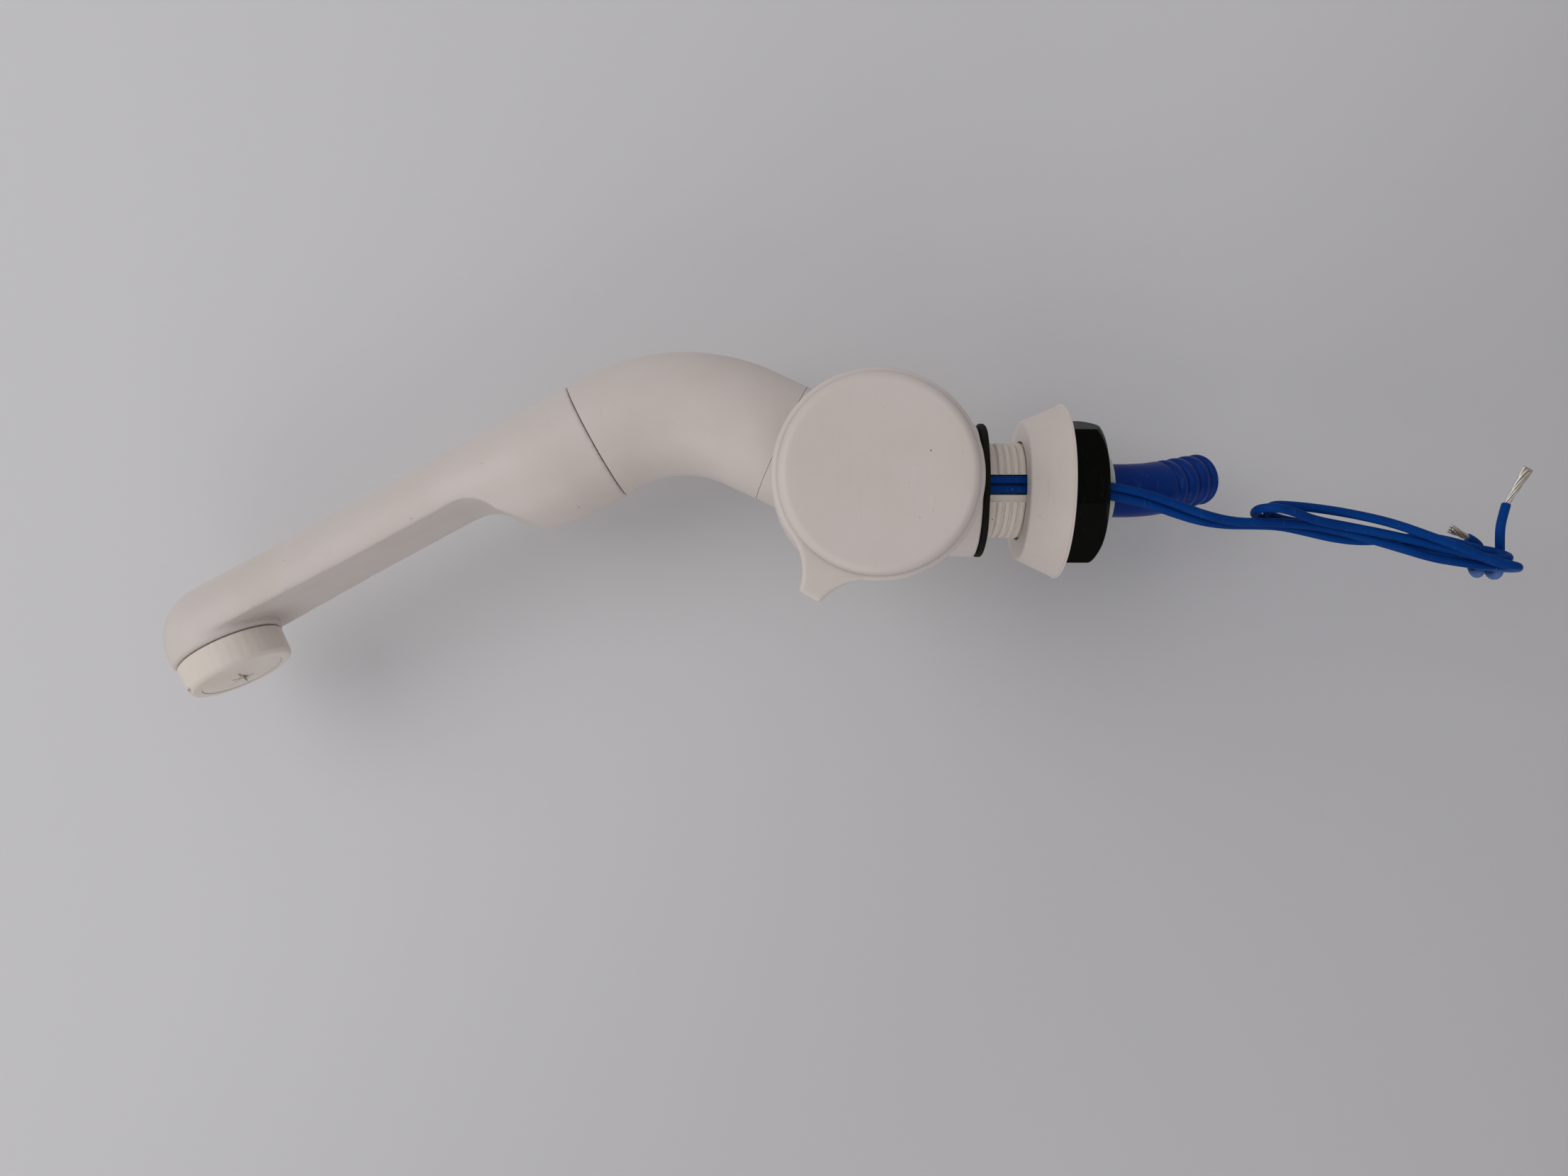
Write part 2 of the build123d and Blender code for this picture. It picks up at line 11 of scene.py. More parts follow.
# %% Load the frame
import json
from math import cos, pi, radians, sin, tau

import bmesh
import bpy
from mathutils import Matrix, Vector


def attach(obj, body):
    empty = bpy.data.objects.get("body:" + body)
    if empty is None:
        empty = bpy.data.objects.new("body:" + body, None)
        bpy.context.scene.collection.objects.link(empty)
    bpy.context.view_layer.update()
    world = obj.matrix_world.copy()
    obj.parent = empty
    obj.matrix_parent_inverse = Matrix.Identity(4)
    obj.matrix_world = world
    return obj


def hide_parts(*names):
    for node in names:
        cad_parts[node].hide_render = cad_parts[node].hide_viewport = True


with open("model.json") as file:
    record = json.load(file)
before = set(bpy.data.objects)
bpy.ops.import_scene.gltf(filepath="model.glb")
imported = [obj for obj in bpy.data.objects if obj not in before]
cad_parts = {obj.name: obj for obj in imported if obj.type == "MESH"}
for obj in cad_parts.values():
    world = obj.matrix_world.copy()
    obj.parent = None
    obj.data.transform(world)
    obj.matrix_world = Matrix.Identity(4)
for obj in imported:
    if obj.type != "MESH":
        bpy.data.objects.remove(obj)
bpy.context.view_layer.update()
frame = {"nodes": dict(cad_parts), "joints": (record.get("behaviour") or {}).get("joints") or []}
nodes = frame["nodes"]
joints = {joint["name"]: joint for joint in frame["joints"]}
MM = 0.001
print(len(nodes), "solids and", len(joints), "joints loaded")

# %% [markdown]
# ## Camera
# The tap lies on its side, with the shank's axis across the view, so the camera is rolled until
# the frame's +X points up and its -Z points right. It looks straight along +Y at the knob's face
# from a third of a metre away, which gives the strong perspective of a close-up.

# %% Camera
CAMERA_AT = Vector((-26.7, -335.7, 53.9)) * MM
LENS_MM, SENSOR_MM = 28.07, 36


def add_object(name, data):
    """A new object in the scene."""
    made = bpy.data.objects.new(name, data)
    bpy.context.scene.collection.objects.link(made)
    return made


camera_data = bpy.data.cameras.new("camera")
camera_data.lens = LENS_MM
camera_data.sensor_width = SENSOR_MM
camera_data.clip_start = 0.01
camera = add_object("camera", camera_data)
right, up, back = Vector((0, 0, -1)), Vector((1, 0, 0)), Vector((0, -1, 0))
camera_roll = Matrix((right, up, back)).transposed().to_4x4()
camera.matrix_world = Matrix.Translation(CAMERA_AT) @ camera_roll
bpy.context.scene.camera = camera
print("camera", round(CAMERA_AT.length, 3), "m from the origin")

# %% [markdown]
# ## The two wires
# Each wire is a smooth NURBS line with a round bevel. Its control points are placed: down
# from the slot, three times along the hank, and out to its free end. The folds have a few points
# each, so that they are round and not sharp. Each wire starts and ends where its solids do, to
# within a millimetre, and the turns between fill the space of the hank.

# %% Routes of the wires
WIRE_D = 2.4

wire_a_points = [
    (0.4, -11.5, -31.3), (-0.9, -11.5, -38.6), (-2.7, -11.7, -44.9), (-4.9, -12.0, -50.9),
    (-7.6, -12.2, -58.1), (-9.3, -12.2, -65.8), (-9.3, -12.0, -73.5), (-9.6, -11.6, -81.3),
    (-10.6, -11.2, -90.0), (-13.7, -11.3, -101.6), (-16.6, -11.9, -110.9), (-18.9, -12.2, -118.4),
    (-20.1, -12.4, -126.2), (-20.9, -12.3, -131.8), (-21.4, -12.1, -136.4), (-21.5, -13.7, -138.3),
    (-21.4, -16.1, -138.3), (-21.0, -17.7, -136.4), (-19.8, -17.3, -130.9), (-16.7, -16.4, -124.2),
    (-13.3, -15.0, -116.2), (-9.4, -13.8, -105.9), (-6.9, -13.2, -94.8), (-5.6, -12.4, -86.8),
    (-4.9, -12.0, -80.6), (-4.6, -11.2, -75.4), (-6.6, -7.8, -75.2), (-8.2, -6.9, -79.6),
    (-9.1, -6.7, -84.6), (-10.2, -6.6, -90.9), (-12.5, -6.4, -101.7), (-15.3, -6.9, -113.2),
    (-17.2, -8.2, -123.2), (-18.6, -9.2, -130.1), (-20.0, -9.5, -135.3), (-21.7, -9.9, -136.9),
    (-23.3, -8.3, -137.0), (-23.3, -5.9, -137.0), (-21.8, -4.2, -136.9), (-19.9, -4.6, -136.8),
    (-17.6, -7.4, -138.4), (-14.2, -9.8, -136.9), (-10.4, -9.8, -137.0), (-6.6, -9.0, -138.4),
    (-4.4, -8.4, -139.4)]
wire_b_points = [
    (-2.0, -11.5, -31.3), (-3.4, -11.3, -38.6), (-5.2, -10.9, -45.1), (-7.2, -10.4, -51.0),
    (-9.0, -10.0, -57.2), (-9.9, -9.7, -64.0), (-9.9, -9.6, -71.0), (-10.1, -9.2, -78.3),
    (-11.5, -8.9, -84.9), (-13.4, -8.8, -92.8), (-14.3, -8.8, -100.7), (-13.6, -9.3, -109.0),
    (-13.0, -9.8, -117.7), (-14.4, -10.2, -124.4), (-16.3, -10.3, -130.6), (-17.1, -9.9, -135.6),
    (-18.0, -11.3, -137.4), (-18.8, -13.5, -137.3), (-19.2, -14.9, -135.3), (-18.6, -14.6, -129.1),
    (-15.9, -13.3, -119.7), (-12.7, -13.1, -106.3), (-10.5, -13.6, -94.6), (-8.9, -14.6, -85.4),
    (-6.9, -15.6, -80.2), (-5.6, -15.8, -75.2), (-5.6, -12.2, -71.6), (-7.0, -7.6, -71.9),
    (-8.3, -4.6, -76.8), (-9.3, -3.9, -83.1), (-10.9, -4.0, -91.0), (-13.4, -4.0, -104.8),
    (-16.2, -4.6, -118.2), (-17.8, -6.0, -126.2), (-19.2, -6.8, -132.2), (-21.3, -7.2, -133.5),
    (-22.8, -5.7, -133.7), (-22.8, -3.6, -133.8), (-21.3, -2.2, -133.8), (-19.4, -2.2, -133.6),
    (-17.0, -2.8, -135.2), (-14.8, -4.4, -134.6), (-13.1, -5.2, -130.9)]


def wire_curve(name, points_mm):
    """Round wire along a smooth line through the space near its control points."""
    curve = bpy.data.curves.new(name, "CURVE")
    curve.dimensions = "3D"
    curve.bevel_depth = WIRE_D / 2 * MM
    curve.bevel_resolution = 5
    curve.resolution_u = 8
    curve.use_fill_caps = True
    spline = curve.splines.new("NURBS")
    spline.points.add(len(points_mm) - 1)
    for point, place_mm in zip(spline.points, points_mm):
        point.co = (*[value * MM for value in place_mm], 1)
    spline.order_u = 3
    spline.use_endpoint_u = True
    return add_object(name, curve)


wire_a = wire_curve("pump_wire_a", wire_a_points)
wire_b = wire_curve("pump_wire_b", wire_b_points)
print("wires with", len(wire_a_points), "and", len(wire_b_points), "control points")

# %% [markdown]
# ## Node groups for the finishes
# Every plastic here came out of a mould and has been handled since. Three small groups give that:
# a skin of slow colour patches over a fine grain, dust that settles as tiny specks, and short
# scuffs. Each is built once with named inputs, and every material places it with its own values.

# %% A helper for node groups
def new_group(name, inputs, outputs):
    """A shader node group with the named sockets, and its two end nodes."""
    group = bpy.data.node_groups.new(name, "ShaderNodeTree")
    for socket_name, kind, value in inputs:
        socket = group.interface.new_socket(socket_name, in_out="INPUT", socket_type=kind)
        socket.default_value = value
    for socket_name, kind in outputs:
        group.interface.new_socket(socket_name, in_out="OUTPUT", socket_type=kind)
    return group, group.nodes.new("NodeGroupInput"), group.nodes.new("NodeGroupOutput")


# %% Helpers that place and join nodes
def noise(tree, scale, detail=2.0, roughness=0.5, source=None):
    """A noise texture on Object coordinates; its scale is in features per metre."""
    texture = tree.nodes.new("ShaderNodeTexNoise")
    texture.inputs["Detail"].default_value = detail
    texture.inputs["Roughness"].default_value = roughness
    if source is None:
        source = tree.nodes.new("ShaderNodeTexCoord").outputs["Object"]
    tree.links.new(source, texture.inputs["Vector"])
    if isinstance(scale, (int, float)):
        texture.inputs["Scale"].default_value = scale
    else:
        tree.links.new(scale, texture.inputs["Scale"])
    return texture.outputs["Fac"]


def map_range(tree, value, from_min, from_max, to_min=0.0, to_max=1.0, smooth=False):
    """The value carried from one range to another, held inside it."""
    node = tree.nodes.new("ShaderNodeMapRange")
    node.interpolation_type = "SMOOTHSTEP" if smooth else "LINEAR"
    sockets = ("From Min", "From Max", "To Min", "To Max")
    for socket, number in zip(sockets, (from_min, from_max, to_min, to_max)):
        if isinstance(number, (int, float)):
            node.inputs[socket].default_value = number
        else:
            tree.links.new(number, node.inputs[socket])
    tree.links.new(value, node.inputs["Value"])
    return node.outputs["Result"]


def mix_colour(tree, factor, a, b):
    """Colour a where the factor is 0 and b where it is 1."""
    node = tree.nodes.new("ShaderNodeMix")
    node.data_type = "RGBA"
    tree.links.new(factor, node.inputs[0])
    for socket, colour in ((node.inputs[6], a), (node.inputs[7], b)):
        if isinstance(colour, (tuple, list)):
            socket.default_value = (*colour[:3], 1)
        else:
            tree.links.new(colour, socket)
    return node.outputs[2]


def math_node(tree, operation, a, b):
    """One sum on two values, each a number or another node's output."""
    node = tree.nodes.new("ShaderNodeMath")
    node.operation = operation
    for socket, value in zip(node.inputs, (a, b)):
        if isinstance(value, (int, float)):
            socket.default_value = value
        else:
            tree.links.new(value, socket)
    return node.outputs[0]


# %% Moulded skin
skin, skin_in, skin_out = new_group(
    "moulded skin",
    [("Colour", "NodeSocketColor", (0.6, 0.6, 0.6, 1)),
     ("Aged", "NodeSocketColor", (0.5, 0.5, 0.5, 1)),
     ("Patches", "NodeSocketFloat", 60.0), ("Grain", "NodeSocketFloat", 2500.0),
     ("Smooth", "NodeSocketFloat", 0.35), ("Dull", "NodeSocketFloat", 0.5)],
    [("Colour", "NodeSocketColor"), ("Roughness", "NodeSocketFloat"),
     ("Height", "NodeSocketFloat")])
slow_noise = noise(skin, skin_in.outputs["Patches"], detail=3.0)
patches = map_range(skin, slow_noise, from_min=0.35, from_max=0.7, smooth=True)
grain = noise(skin, skin_in.outputs["Grain"], detail=1.0)
ripple = noise(skin, scale=140.0, detail=1.0)
skin.links.new(
    mix_colour(skin, patches, skin_in.outputs["Colour"], skin_in.outputs["Aged"]),
    skin_out.inputs["Colour"])
gloss = math_node(skin, "ADD", math_node(skin, "MULTIPLY", patches, 0.6),
                  math_node(skin, "MULTIPLY", grain, 0.4))
skin.links.new(
    map_range(skin, gloss, 0.0, 1.0, skin_in.outputs["Smooth"], skin_in.outputs["Dull"]),
    skin_out.inputs["Roughness"])
skin.links.new(
    math_node(skin, "ADD", math_node(skin, "MULTIPLY", ripple, 0.8),
              math_node(skin, "MULTIPLY", grain, 0.2)),
    skin_out.inputs["Height"])
print(skin.name, "has", len(skin.nodes), "nodes")

# %% Dust specks
# fine noise above DUST_FROM is dust, fully from DUST_FULL on; the Amount brings in lower levels
DUST_FROM, DUST_FULL, DUST_REACH = 0.865, 0.895, 0.46

dust, dust_in, dust_out = new_group(
    "settled dust",
    [("Size", "NodeSocketFloat", 900.0), ("Amount", "NodeSocketFloat", 0.2)],
    [("Mask", "NodeSocketFloat")])
fine = noise(dust, dust_in.outputs["Size"], detail=0.0)
drift = noise(dust, scale=45.0, detail=2.0)
lowered = math_node(dust, "MULTIPLY", dust_in.outputs["Amount"], DUST_REACH)
least = math_node(dust, "SUBTRACT", DUST_FROM, lowered)
speck = map_range(dust, fine, least, DUST_FULL)
where = map_range(dust, drift, from_min=0.45, from_max=0.6)
dust.links.new(math_node(dust, "MULTIPLY", speck, where), dust_out.inputs["Mask"])
print(dust.name, "has", len(dust.nodes), "nodes")

# %% Scuffs
SCUFF_HEADINGS, SCUFF_STRETCH = (25, -50), 14.0

scuffs, scuffs_in, scuffs_out = new_group(
    "short scuffs",
    [("Length", "NodeSocketFloat", 90.0), ("Amount", "NodeSocketFloat", 0.3)],
    [("Mask", "NodeSocketFloat")])
place = scuffs.nodes.new("ShaderNodeTexCoord").outputs["Object"]
strokes = []
for degrees in SCUFF_HEADINGS:
    stretch = scuffs.nodes.new("ShaderNodeMapping")
    stretch.inputs["Rotation"].default_value = (radians(degrees), radians(12), radians(-degrees))
    stretch.inputs["Scale"].default_value = (1.0, SCUFF_STRETCH, SCUFF_STRETCH)
    scuffs.links.new(place, stretch.inputs["Vector"])
    stroke = noise(scuffs, scuffs_in.outputs["Length"], detail=0.0, source=stretch.outputs["Vector"])
    strokes.append(map_range(scuffs, stroke, from_min=0.74, from_max=0.80))
both = math_node(scuffs, "MAXIMUM", strokes[0], strokes[1])
fainter = math_node(scuffs, "MULTIPLY", both, scuffs_in.outputs["Amount"])
scuffs.links.new(fainter, scuffs_out.inputs["Mask"])
print(scuffs.name, "has", len(scuffs.nodes), "nodes")

# %% [markdown]
# ## Materials
# One helper lays out the nodes that all these plastics share: the skin gives the colour, the
# roughness and a shallow relief, dust and scuffs lie on it, and everything ends in a Principled
# BSDF. Values that don't vary over the surface are set straight on that shader. The blue tail has
# two finishes, because its cut mouth is duller than its skin and painted paler, a painted highlight.
# The wires' outer folds are painted paler too, a painted highlight that a gradient along X gives.

# %% Helpers for the materials
def new_material(name):
    """A material, its node tree and its Principled BSDF."""
    material = bpy.data.materials.new(name)
    material.use_nodes = True
    return material, material.node_tree, material.node_tree.nodes["Principled BSDF"]


def add_relief(tree, shader, height, strength, depth_mm):
    """Joins a height to the shader by a Bump node."""
    bump = tree.nodes.new("ShaderNodeBump")
    bump.inputs["Strength"].default_value = strength
    bump.inputs["Distance"].default_value = depth_mm * MM
    tree.links.new(height, bump.inputs["Height"])
    tree.links.new(bump.outputs["Normal"], shader.inputs["Normal"])


def place_group(tree, group, **values):
    """A node group placed in a material, with its inputs set by name."""
    node = tree.nodes.new("ShaderNodeGroup")
    node.node_tree = group
    for socket_name, value in values.items():
        socket = node.inputs[socket_name]
        socket.default_value = (*value, 1) if isinstance(value, tuple) else value
    return node


# %% A helper for the plastics
SCUFF_DULLS = 0.25


def plastic(name, colour, aged, smooth, dull, dust_colour=(0.55, 0.52, 0.48), dust_amount=0.3,
            grain_size=2500.0, relief=0.1, marks=0.25, specular=0.4):
    """A moulded plastic or rubber with its skin, dust and scuffs."""
    material, tree, shader = new_material(name)
    body = place_group(tree, skin, Colour=colour, Aged=aged, Grain=grain_size, Smooth=smooth,
                       Dull=dull)
    specks = place_group(tree, dust, Amount=dust_amount)
    lines = place_group(tree, scuffs, Amount=marks)
    scuffed = mix_colour(tree, lines.outputs["Mask"], body.outputs["Colour"], dust_colour)
    dusty = mix_colour(tree, specks.outputs["Mask"], scuffed, dust_colour)
    tree.links.new(dusty, shader.inputs["Base Color"])
    rough = math_node(tree, "ADD", body.outputs["Roughness"],
                      math_node(tree, "MULTIPLY", lines.outputs["Mask"], SCUFF_DULLS))
    tree.links.new(rough, shader.inputs["Roughness"])
    add_relief(tree, shader, body.outputs["Height"], strength=relief, depth_mm=0.2)
    shader.inputs["Specular IOR Level"].default_value = specular
    print(f"{name}: {len(tree.nodes)} nodes")
    return material


# %% White and ivory plastics
white = plastic(
    "white_moulding", colour=(0.577, 0.517, 0.484), aged=(0.557, 0.497, 0.456),
    smooth=0.36, dull=0.50, dust_colour=(0.27, 0.23, 0.18), dust_amount=0.0,
    marks=0.03, specular=0.3)
ivory = plastic(
    "ivory_moulding", colour=(0.680, 0.612, 0.555), aged=(0.640, 0.568, 0.500),
    smooth=0.40, dull=0.54, dust_colour=(0.30, 0.25, 0.19), dust_amount=0.02,
    marks=0.05, specular=0.3)
collar_white = plastic(
    "collar_moulding", colour=(0.625, 0.562, 0.520), aged=(0.600, 0.534, 0.490),
    smooth=0.45, dull=0.60, dust_colour=(0.26, 0.22, 0.17), dust_amount=0.06,
    marks=0.08, specular=0.25)
# the shank is written paler than the body's white: partly a paler moulding, partly painted light
# that offsets the shade between knob and collar
shank_white = plastic(
    "shank_moulding", colour=(0.690, 0.620, 0.555), aged=(0.640, 0.560, 0.490),
    smooth=0.42, dull=0.58, dust_colour=(0.20, 0.17, 0.13), dust_amount=0.15,
    marks=0.08, specular=0.25)
bush_grey = plastic(
    "bush_moulding", colour=(0.46, 0.49, 0.45), aged=(0.41, 0.45, 0.40),
    smooth=0.42, dull=0.58, specular=0.25)
inner_white = plastic(
    "inner_moulding", colour=(0.62, 0.62, 0.60), aged=(0.55, 0.54, 0.50), smooth=0.35, dull=0.5)

# %% Black and blue plastics
black = plastic(
    "black_moulding", colour=(0.0010, 0.0016, 0.0006), aged=(0.0015, 0.0020, 0.0010),
    smooth=0.32, dull=0.48, dust_colour=(0.030, 0.028, 0.024), dust_amount=0.1,
    marks=0.12, specular=0.045)
rubber = plastic(
    "black_rubber_skin", colour=(0.0035, 0.0032, 0.0024), aged=(0.0075, 0.0065, 0.0045),
    smooth=0.60, dull=0.80, dust_colour=(0.08, 0.07, 0.055), dust_amount=0.3,
    grain_size=1800.0, relief=0.3, marks=0.15, specular=0.12)
tail_blue = plastic(
    "blue_moulding", colour=(0.0001, 0.0200, 0.1500), aged=(0.0003, 0.0290, 0.1950),
    smooth=0.30, dull=0.42, dust_colour=(0.07, 0.13, 0.28), dust_amount=0.1,
    marks=0.12, specular=0.09)
# the mouth's paler blue is a painted highlight; its higher roughness and scuffs are its own
lip_sheen_blue = plastic(
    "blue_moulding_end", colour=(0.020, 0.055, 0.260), aged=(0.050, 0.085, 0.300),
    smooth=0.45, dull=0.60, dust_colour=(0.09, 0.12, 0.26), dust_amount=0.2,
    marks=0.3, specular=0.12)
wire_blue = plastic(
    "blue_insulation_skin", colour=(0.0001, 0.0290, 0.1650), aged=(0.0004, 0.0400, 0.2050),
    smooth=0.40, dull=0.55, dust_colour=(0.08, 0.13, 0.28), dust_amount=0.1,
    marks=0.12, specular=0.05)

# %% Painted highlight on the folds of the wires
# the folds that reach furthest along -X are painted a paler blue: a painted highlight
SHEEN_FROM_X, SHEEN_FULL_X, PAINTED_SHEEN_BLUE = -21.4, -23.2, (0.16, 0.27, 0.52)

wire_tree = wire_blue.node_tree
wire_shader = wire_tree.nodes["Principled BSDF"]
wire_place = wire_tree.nodes.new("ShaderNodeTexCoord").outputs["Object"]
wire_split = wire_tree.nodes.new("ShaderNodeSeparateXYZ")
wire_tree.links.new(wire_place, wire_split.inputs[0])
painted_sheen = map_range(wire_tree, wire_split.outputs["X"], SHEEN_FROM_X * MM, SHEEN_FULL_X * MM,
                     to_max=0.5, smooth=True)
dyed = wire_shader.inputs["Base Color"].links[0].from_socket
paler = mix_colour(wire_tree, painted_sheen, dyed, PAINTED_SHEEN_BLUE)
wire_tree.links.new(paler, wire_shader.inputs["Base Color"])
# the paler blue printed below is the painted highlight
print("the insulation is paler beyond", SHEEN_FROM_X, "mm along X")

# %% Metals and ceramic
def metal(name, colour, tarnish, roughness, lay=700.0):
    """A turned or drawn metal with a slight tarnish."""
    material, tree, shader = new_material(name)
    body = place_group(tree, skin, Colour=colour, Aged=tarnish, Patches=220.0, Grain=lay,
                       Smooth=roughness, Dull=roughness + 0.18)
    shader.inputs["Metallic"].default_value = 1.0
    tree.links.new(body.outputs["Colour"], shader.inputs["Base Color"])
    tree.links.new(body.outputs["Roughness"], shader.inputs["Roughness"])
    add_relief(tree, shader, body.outputs["Height"], strength=0.15, depth_mm=0.05)
    print(f"{name}: {len(tree.nodes)} nodes")
    return material


tinned = metal("tinned_strands", (0.62, 0.60, 0.56), (0.50, 0.40, 0.30), 0.30, lay=3000.0)
steel = metal("bright_steel", (0.60, 0.60, 0.60), (0.45, 0.44, 0.42), 0.24)
brass = metal("turned_brass", (0.72, 0.52, 0.24), (0.55, 0.36, 0.16), 0.28)
ceramic = plastic(
    "ground_ceramic", colour=(0.72, 0.71, 0.68), aged=(0.69, 0.67, 0.63),
    smooth=0.12, dull=0.22, relief=0.03, marks=0.05)

# %% The solids that keep their shape get their finishes
finishes = {
    "white_plastic": white, "ivory_plastic": ivory, "collar_plastic": collar_white,
    "shank_plastic": shank_white, "bush_plastic": bush_grey, "inner_plastic": inner_white,
    "black_plastic": black, "black_rubber": rubber, "blue_plastic": tail_blue,
    "blue_insulation": wire_blue, "tinned_copper": tinned, "steel": steel, "brass": brass,
    "ceramic": ceramic}
for node in nodes.values():
    for place_in_list, old in enumerate(node.data.materials):
        node.material_slots[place_in_list].material = finishes[old.name.split(".")[0]]
print("finishes given to", len(nodes), "solids")

# %% [markdown]
# ## Turned and moulded pieces
# Most parts of the tap are round. Each starts as a short line of (radius, height) corners in
# millimetres. Corners are rounded with a vertex bevel while it is still a line, and a spin carries
# the line round the axis. A matrix then puts the piece in its place, so that its object stays at
# the origin. The swivels' places come from the frame's joints.

# %% Frames of the knob, the seams and the outlet
NECK_TILT, ARM_TILT, ARM_ROLL = radians(25), radians(28.4), radians(6.5)
HEAD_ALONG_ARM = 115.8


def joint_place(name):
    """Where a joint of the frame sits, in millimetres."""
    return Vector([value / MM for value in joints[name]["pos_m"]])


def axes(origin_mm, x_axis, z_axis):
    """A matrix whose X and Z point along the given directions, with its origin in millimetres."""
    z_axis = Vector(z_axis).normalized()
    x_axis = Vector(x_axis).normalized()
    y_axis = z_axis.cross(x_axis)
    rows = Matrix((x_axis, y_axis, z_axis)).transposed().to_4x4()
    return Matrix.Translation(Vector(origin_mm) * MM) @ rows


neck_seam, arm_seam = joint_place("elbow_swivel"), joint_place("arm_swivel")
neck_dir = Vector((sin(NECK_TILT), 0, cos(NECK_TILT)))
arm_dir = Vector((-sin(ARM_TILT), 0, cos(ARM_TILT)))
down_dir = Vector((-cos(ARM_TILT), 0, -sin(ARM_TILT)))
outlet_dir = down_dir * cos(ARM_ROLL) + Vector((0, -1, 0)) * sin(ARM_ROLL)
KNOB = axes(joint_place("knob_turn"), (1, 0, 0), (0, -1, 0))
NECK_RIM = axes(neck_seam, (cos(NECK_TILT), 0, -sin(NECK_TILT)), neck_dir)
OUTLET = axes(arm_seam + arm_dir * HEAD_ALONG_ARM, arm_dir, outlet_dir)
print("seams", [round(value, 2) for value in (*neck_seam, *arm_seam)])

# %% Helpers that draw, round and spin a line
SAME_POINT = 1e-6


def line_mesh(points_mm, closed=False):
    """A bmesh that holds one line of (radius, height) corners in the XZ plane."""
    bm = bmesh.new()
    corners = [bm.verts.new((radius * MM, 0, height * MM)) for radius, height in points_mm]
    for a, b in zip(corners, corners[1:]):
        bm.edges.new((a, b))
    if closed:
        bm.edges.new((corners[-1], corners[0]))
    return bm, corners


def round_corners(bm, corners, size_mm, segments=4):
    """Rounds some corners of a line."""
    bmesh.ops.bevel(
        bm, geom=corners, offset=size_mm * MM, offset_type="OFFSET", segments=segments,
        profile=0.5, affect="VERTICES", material=-1)


def spin_round(bm, steps=96):
    """Carries the line once round the Z axis and closes the skin."""
    bmesh.ops.spin(
        bm, geom=bm.verts[:] + bm.edges[:], cent=(0, 0, 0), axis=(0, 0, 1), dvec=(0, 0, 0),
        angle=tau, steps=steps, use_merge=True)
    bmesh.ops.remove_doubles(bm, verts=bm.verts, dist=SAME_POINT)
    bmesh.ops.recalc_face_normals(bm, faces=bm.faces)


# %% Helpers that turn a bmesh into a piece
def piece(name, bm, material, place_matrix=None, smooth=True):
    """Makes an object of the bmesh, with its place in its mesh and its object at the origin."""
    if place_matrix is not None:
        bmesh.ops.transform(bm, matrix=place_matrix, verts=bm.verts)
    loose = sum(len(edge.link_faces) != 2 for edge in bm.edges)
    mesh = bpy.data.meshes.new(name)
    bm.to_mesh(mesh)
    bm.free()
    mesh.materials.append(material)
    if smooth:
        mesh.shade_smooth()
    made = add_object(name, mesh)
    print(f"{name}: {len(mesh.polygons)} faces, {loose} open edges")
    return made


def stands_for(made, body, finish, *solids):
    """The piece rides on a body and replaces its solids. The finish is not used."""
    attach(made, body)
    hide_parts(*solids)


def sharpen(made, degrees=35):
    """Keeps the edges that turn sharply from being shaded round."""
    made.data.set_sharp_from_angle(angle=radians(degrees))


# %% [markdown]
# ## Knob cover
# The cover is a flat round cap whose spigot plugs into the knob's deep skirt. Its face is almost
# flat, a hair lower in the middle where the moulding sank as it cooled, and its edge is well
# rounded. A small undercut gives the dark line between cap and skirt. A spun line is the natural
# way to make it.

# %% Knob cover
COVER_FACE, COVER_RIM, COVER_R = 54.0, 50.5, 23.8    # heights in front of the shank's axis
SPIGOT_R, SPIGOT_BORE_R, SPIGOT_END = 22.65, 20.65, 44.6

cover_line, cover_corners = line_mesh([
    (0, COVER_FACE - 0.14), (9, COVER_FACE - 0.11), (18.5, COVER_FACE - 0.03), (23.4, COVER_FACE),
    (COVER_R, COVER_RIM + 0.5), (23.25, COVER_RIM), (SPIGOT_R, COVER_RIM), (SPIGOT_R, SPIGOT_END),
    (SPIGOT_BORE_R, SPIGOT_END), (SPIGOT_BORE_R, COVER_FACE - 2), (0, COVER_FACE - 2)])
round_corners(cover_line, [cover_corners[3]], 2.0, segments=8)
spin_round(cover_line, steps=128)
knob_cover = piece("knob_cover_cup", cover_line, white, KNOB)
sharpen(knob_cover)
stands_for(knob_cover, "knob", "white_plastic", "knob_cover")

# %% [markdown]
# ## Threaded shank
# The thread is a real helix. The section of its ridge is a small closed outline, and the spin that
# carries it round also climbs a little at each step. The ridge is joined to a turned core with a
# Boolean, and a second Boolean cuts the slot for the two wires, so that each ridge ends in a clean
# step at the slot as it does on the moulding.

# %% Core of the shank
PITCH, THREAD_R, ROOT_R = 2.0, 13.0, 12.35
PLUG_R, PLUG_TOP, SHOULDER_R, SHOULDER_TOP = 11.95, 8.9, 13.02, 0.6
SHANK_END, SOCKET_R, SOCKET_END, WATER_R, WATER_END = -31.0, 9.0, -17.0, 6.25, -11.0
TURNS, STEPS = 14, 64

core_line, core_corners = line_mesh([
    (0, PLUG_TOP), (PLUG_R, PLUG_TOP), (PLUG_R, SHOULDER_TOP), (SHOULDER_R, SHOULDER_TOP),
    (SHOULDER_R, -2.25), (ROOT_R, -2.5), (ROOT_R, SHANK_END), (SOCKET_R, SHANK_END),
    (SOCKET_R, SOCKET_END), (WATER_R, SOCKET_END), (WATER_R, WATER_END), (0, WATER_END)])
round_corners(core_line, [core_corners[4]], 0.25, segments=3)
spin_round(core_line, steps=STEPS)
shank = piece("shank_core", core_line, shank_white)

# %% Ridge of the thread
RIDGE_START = -0.62

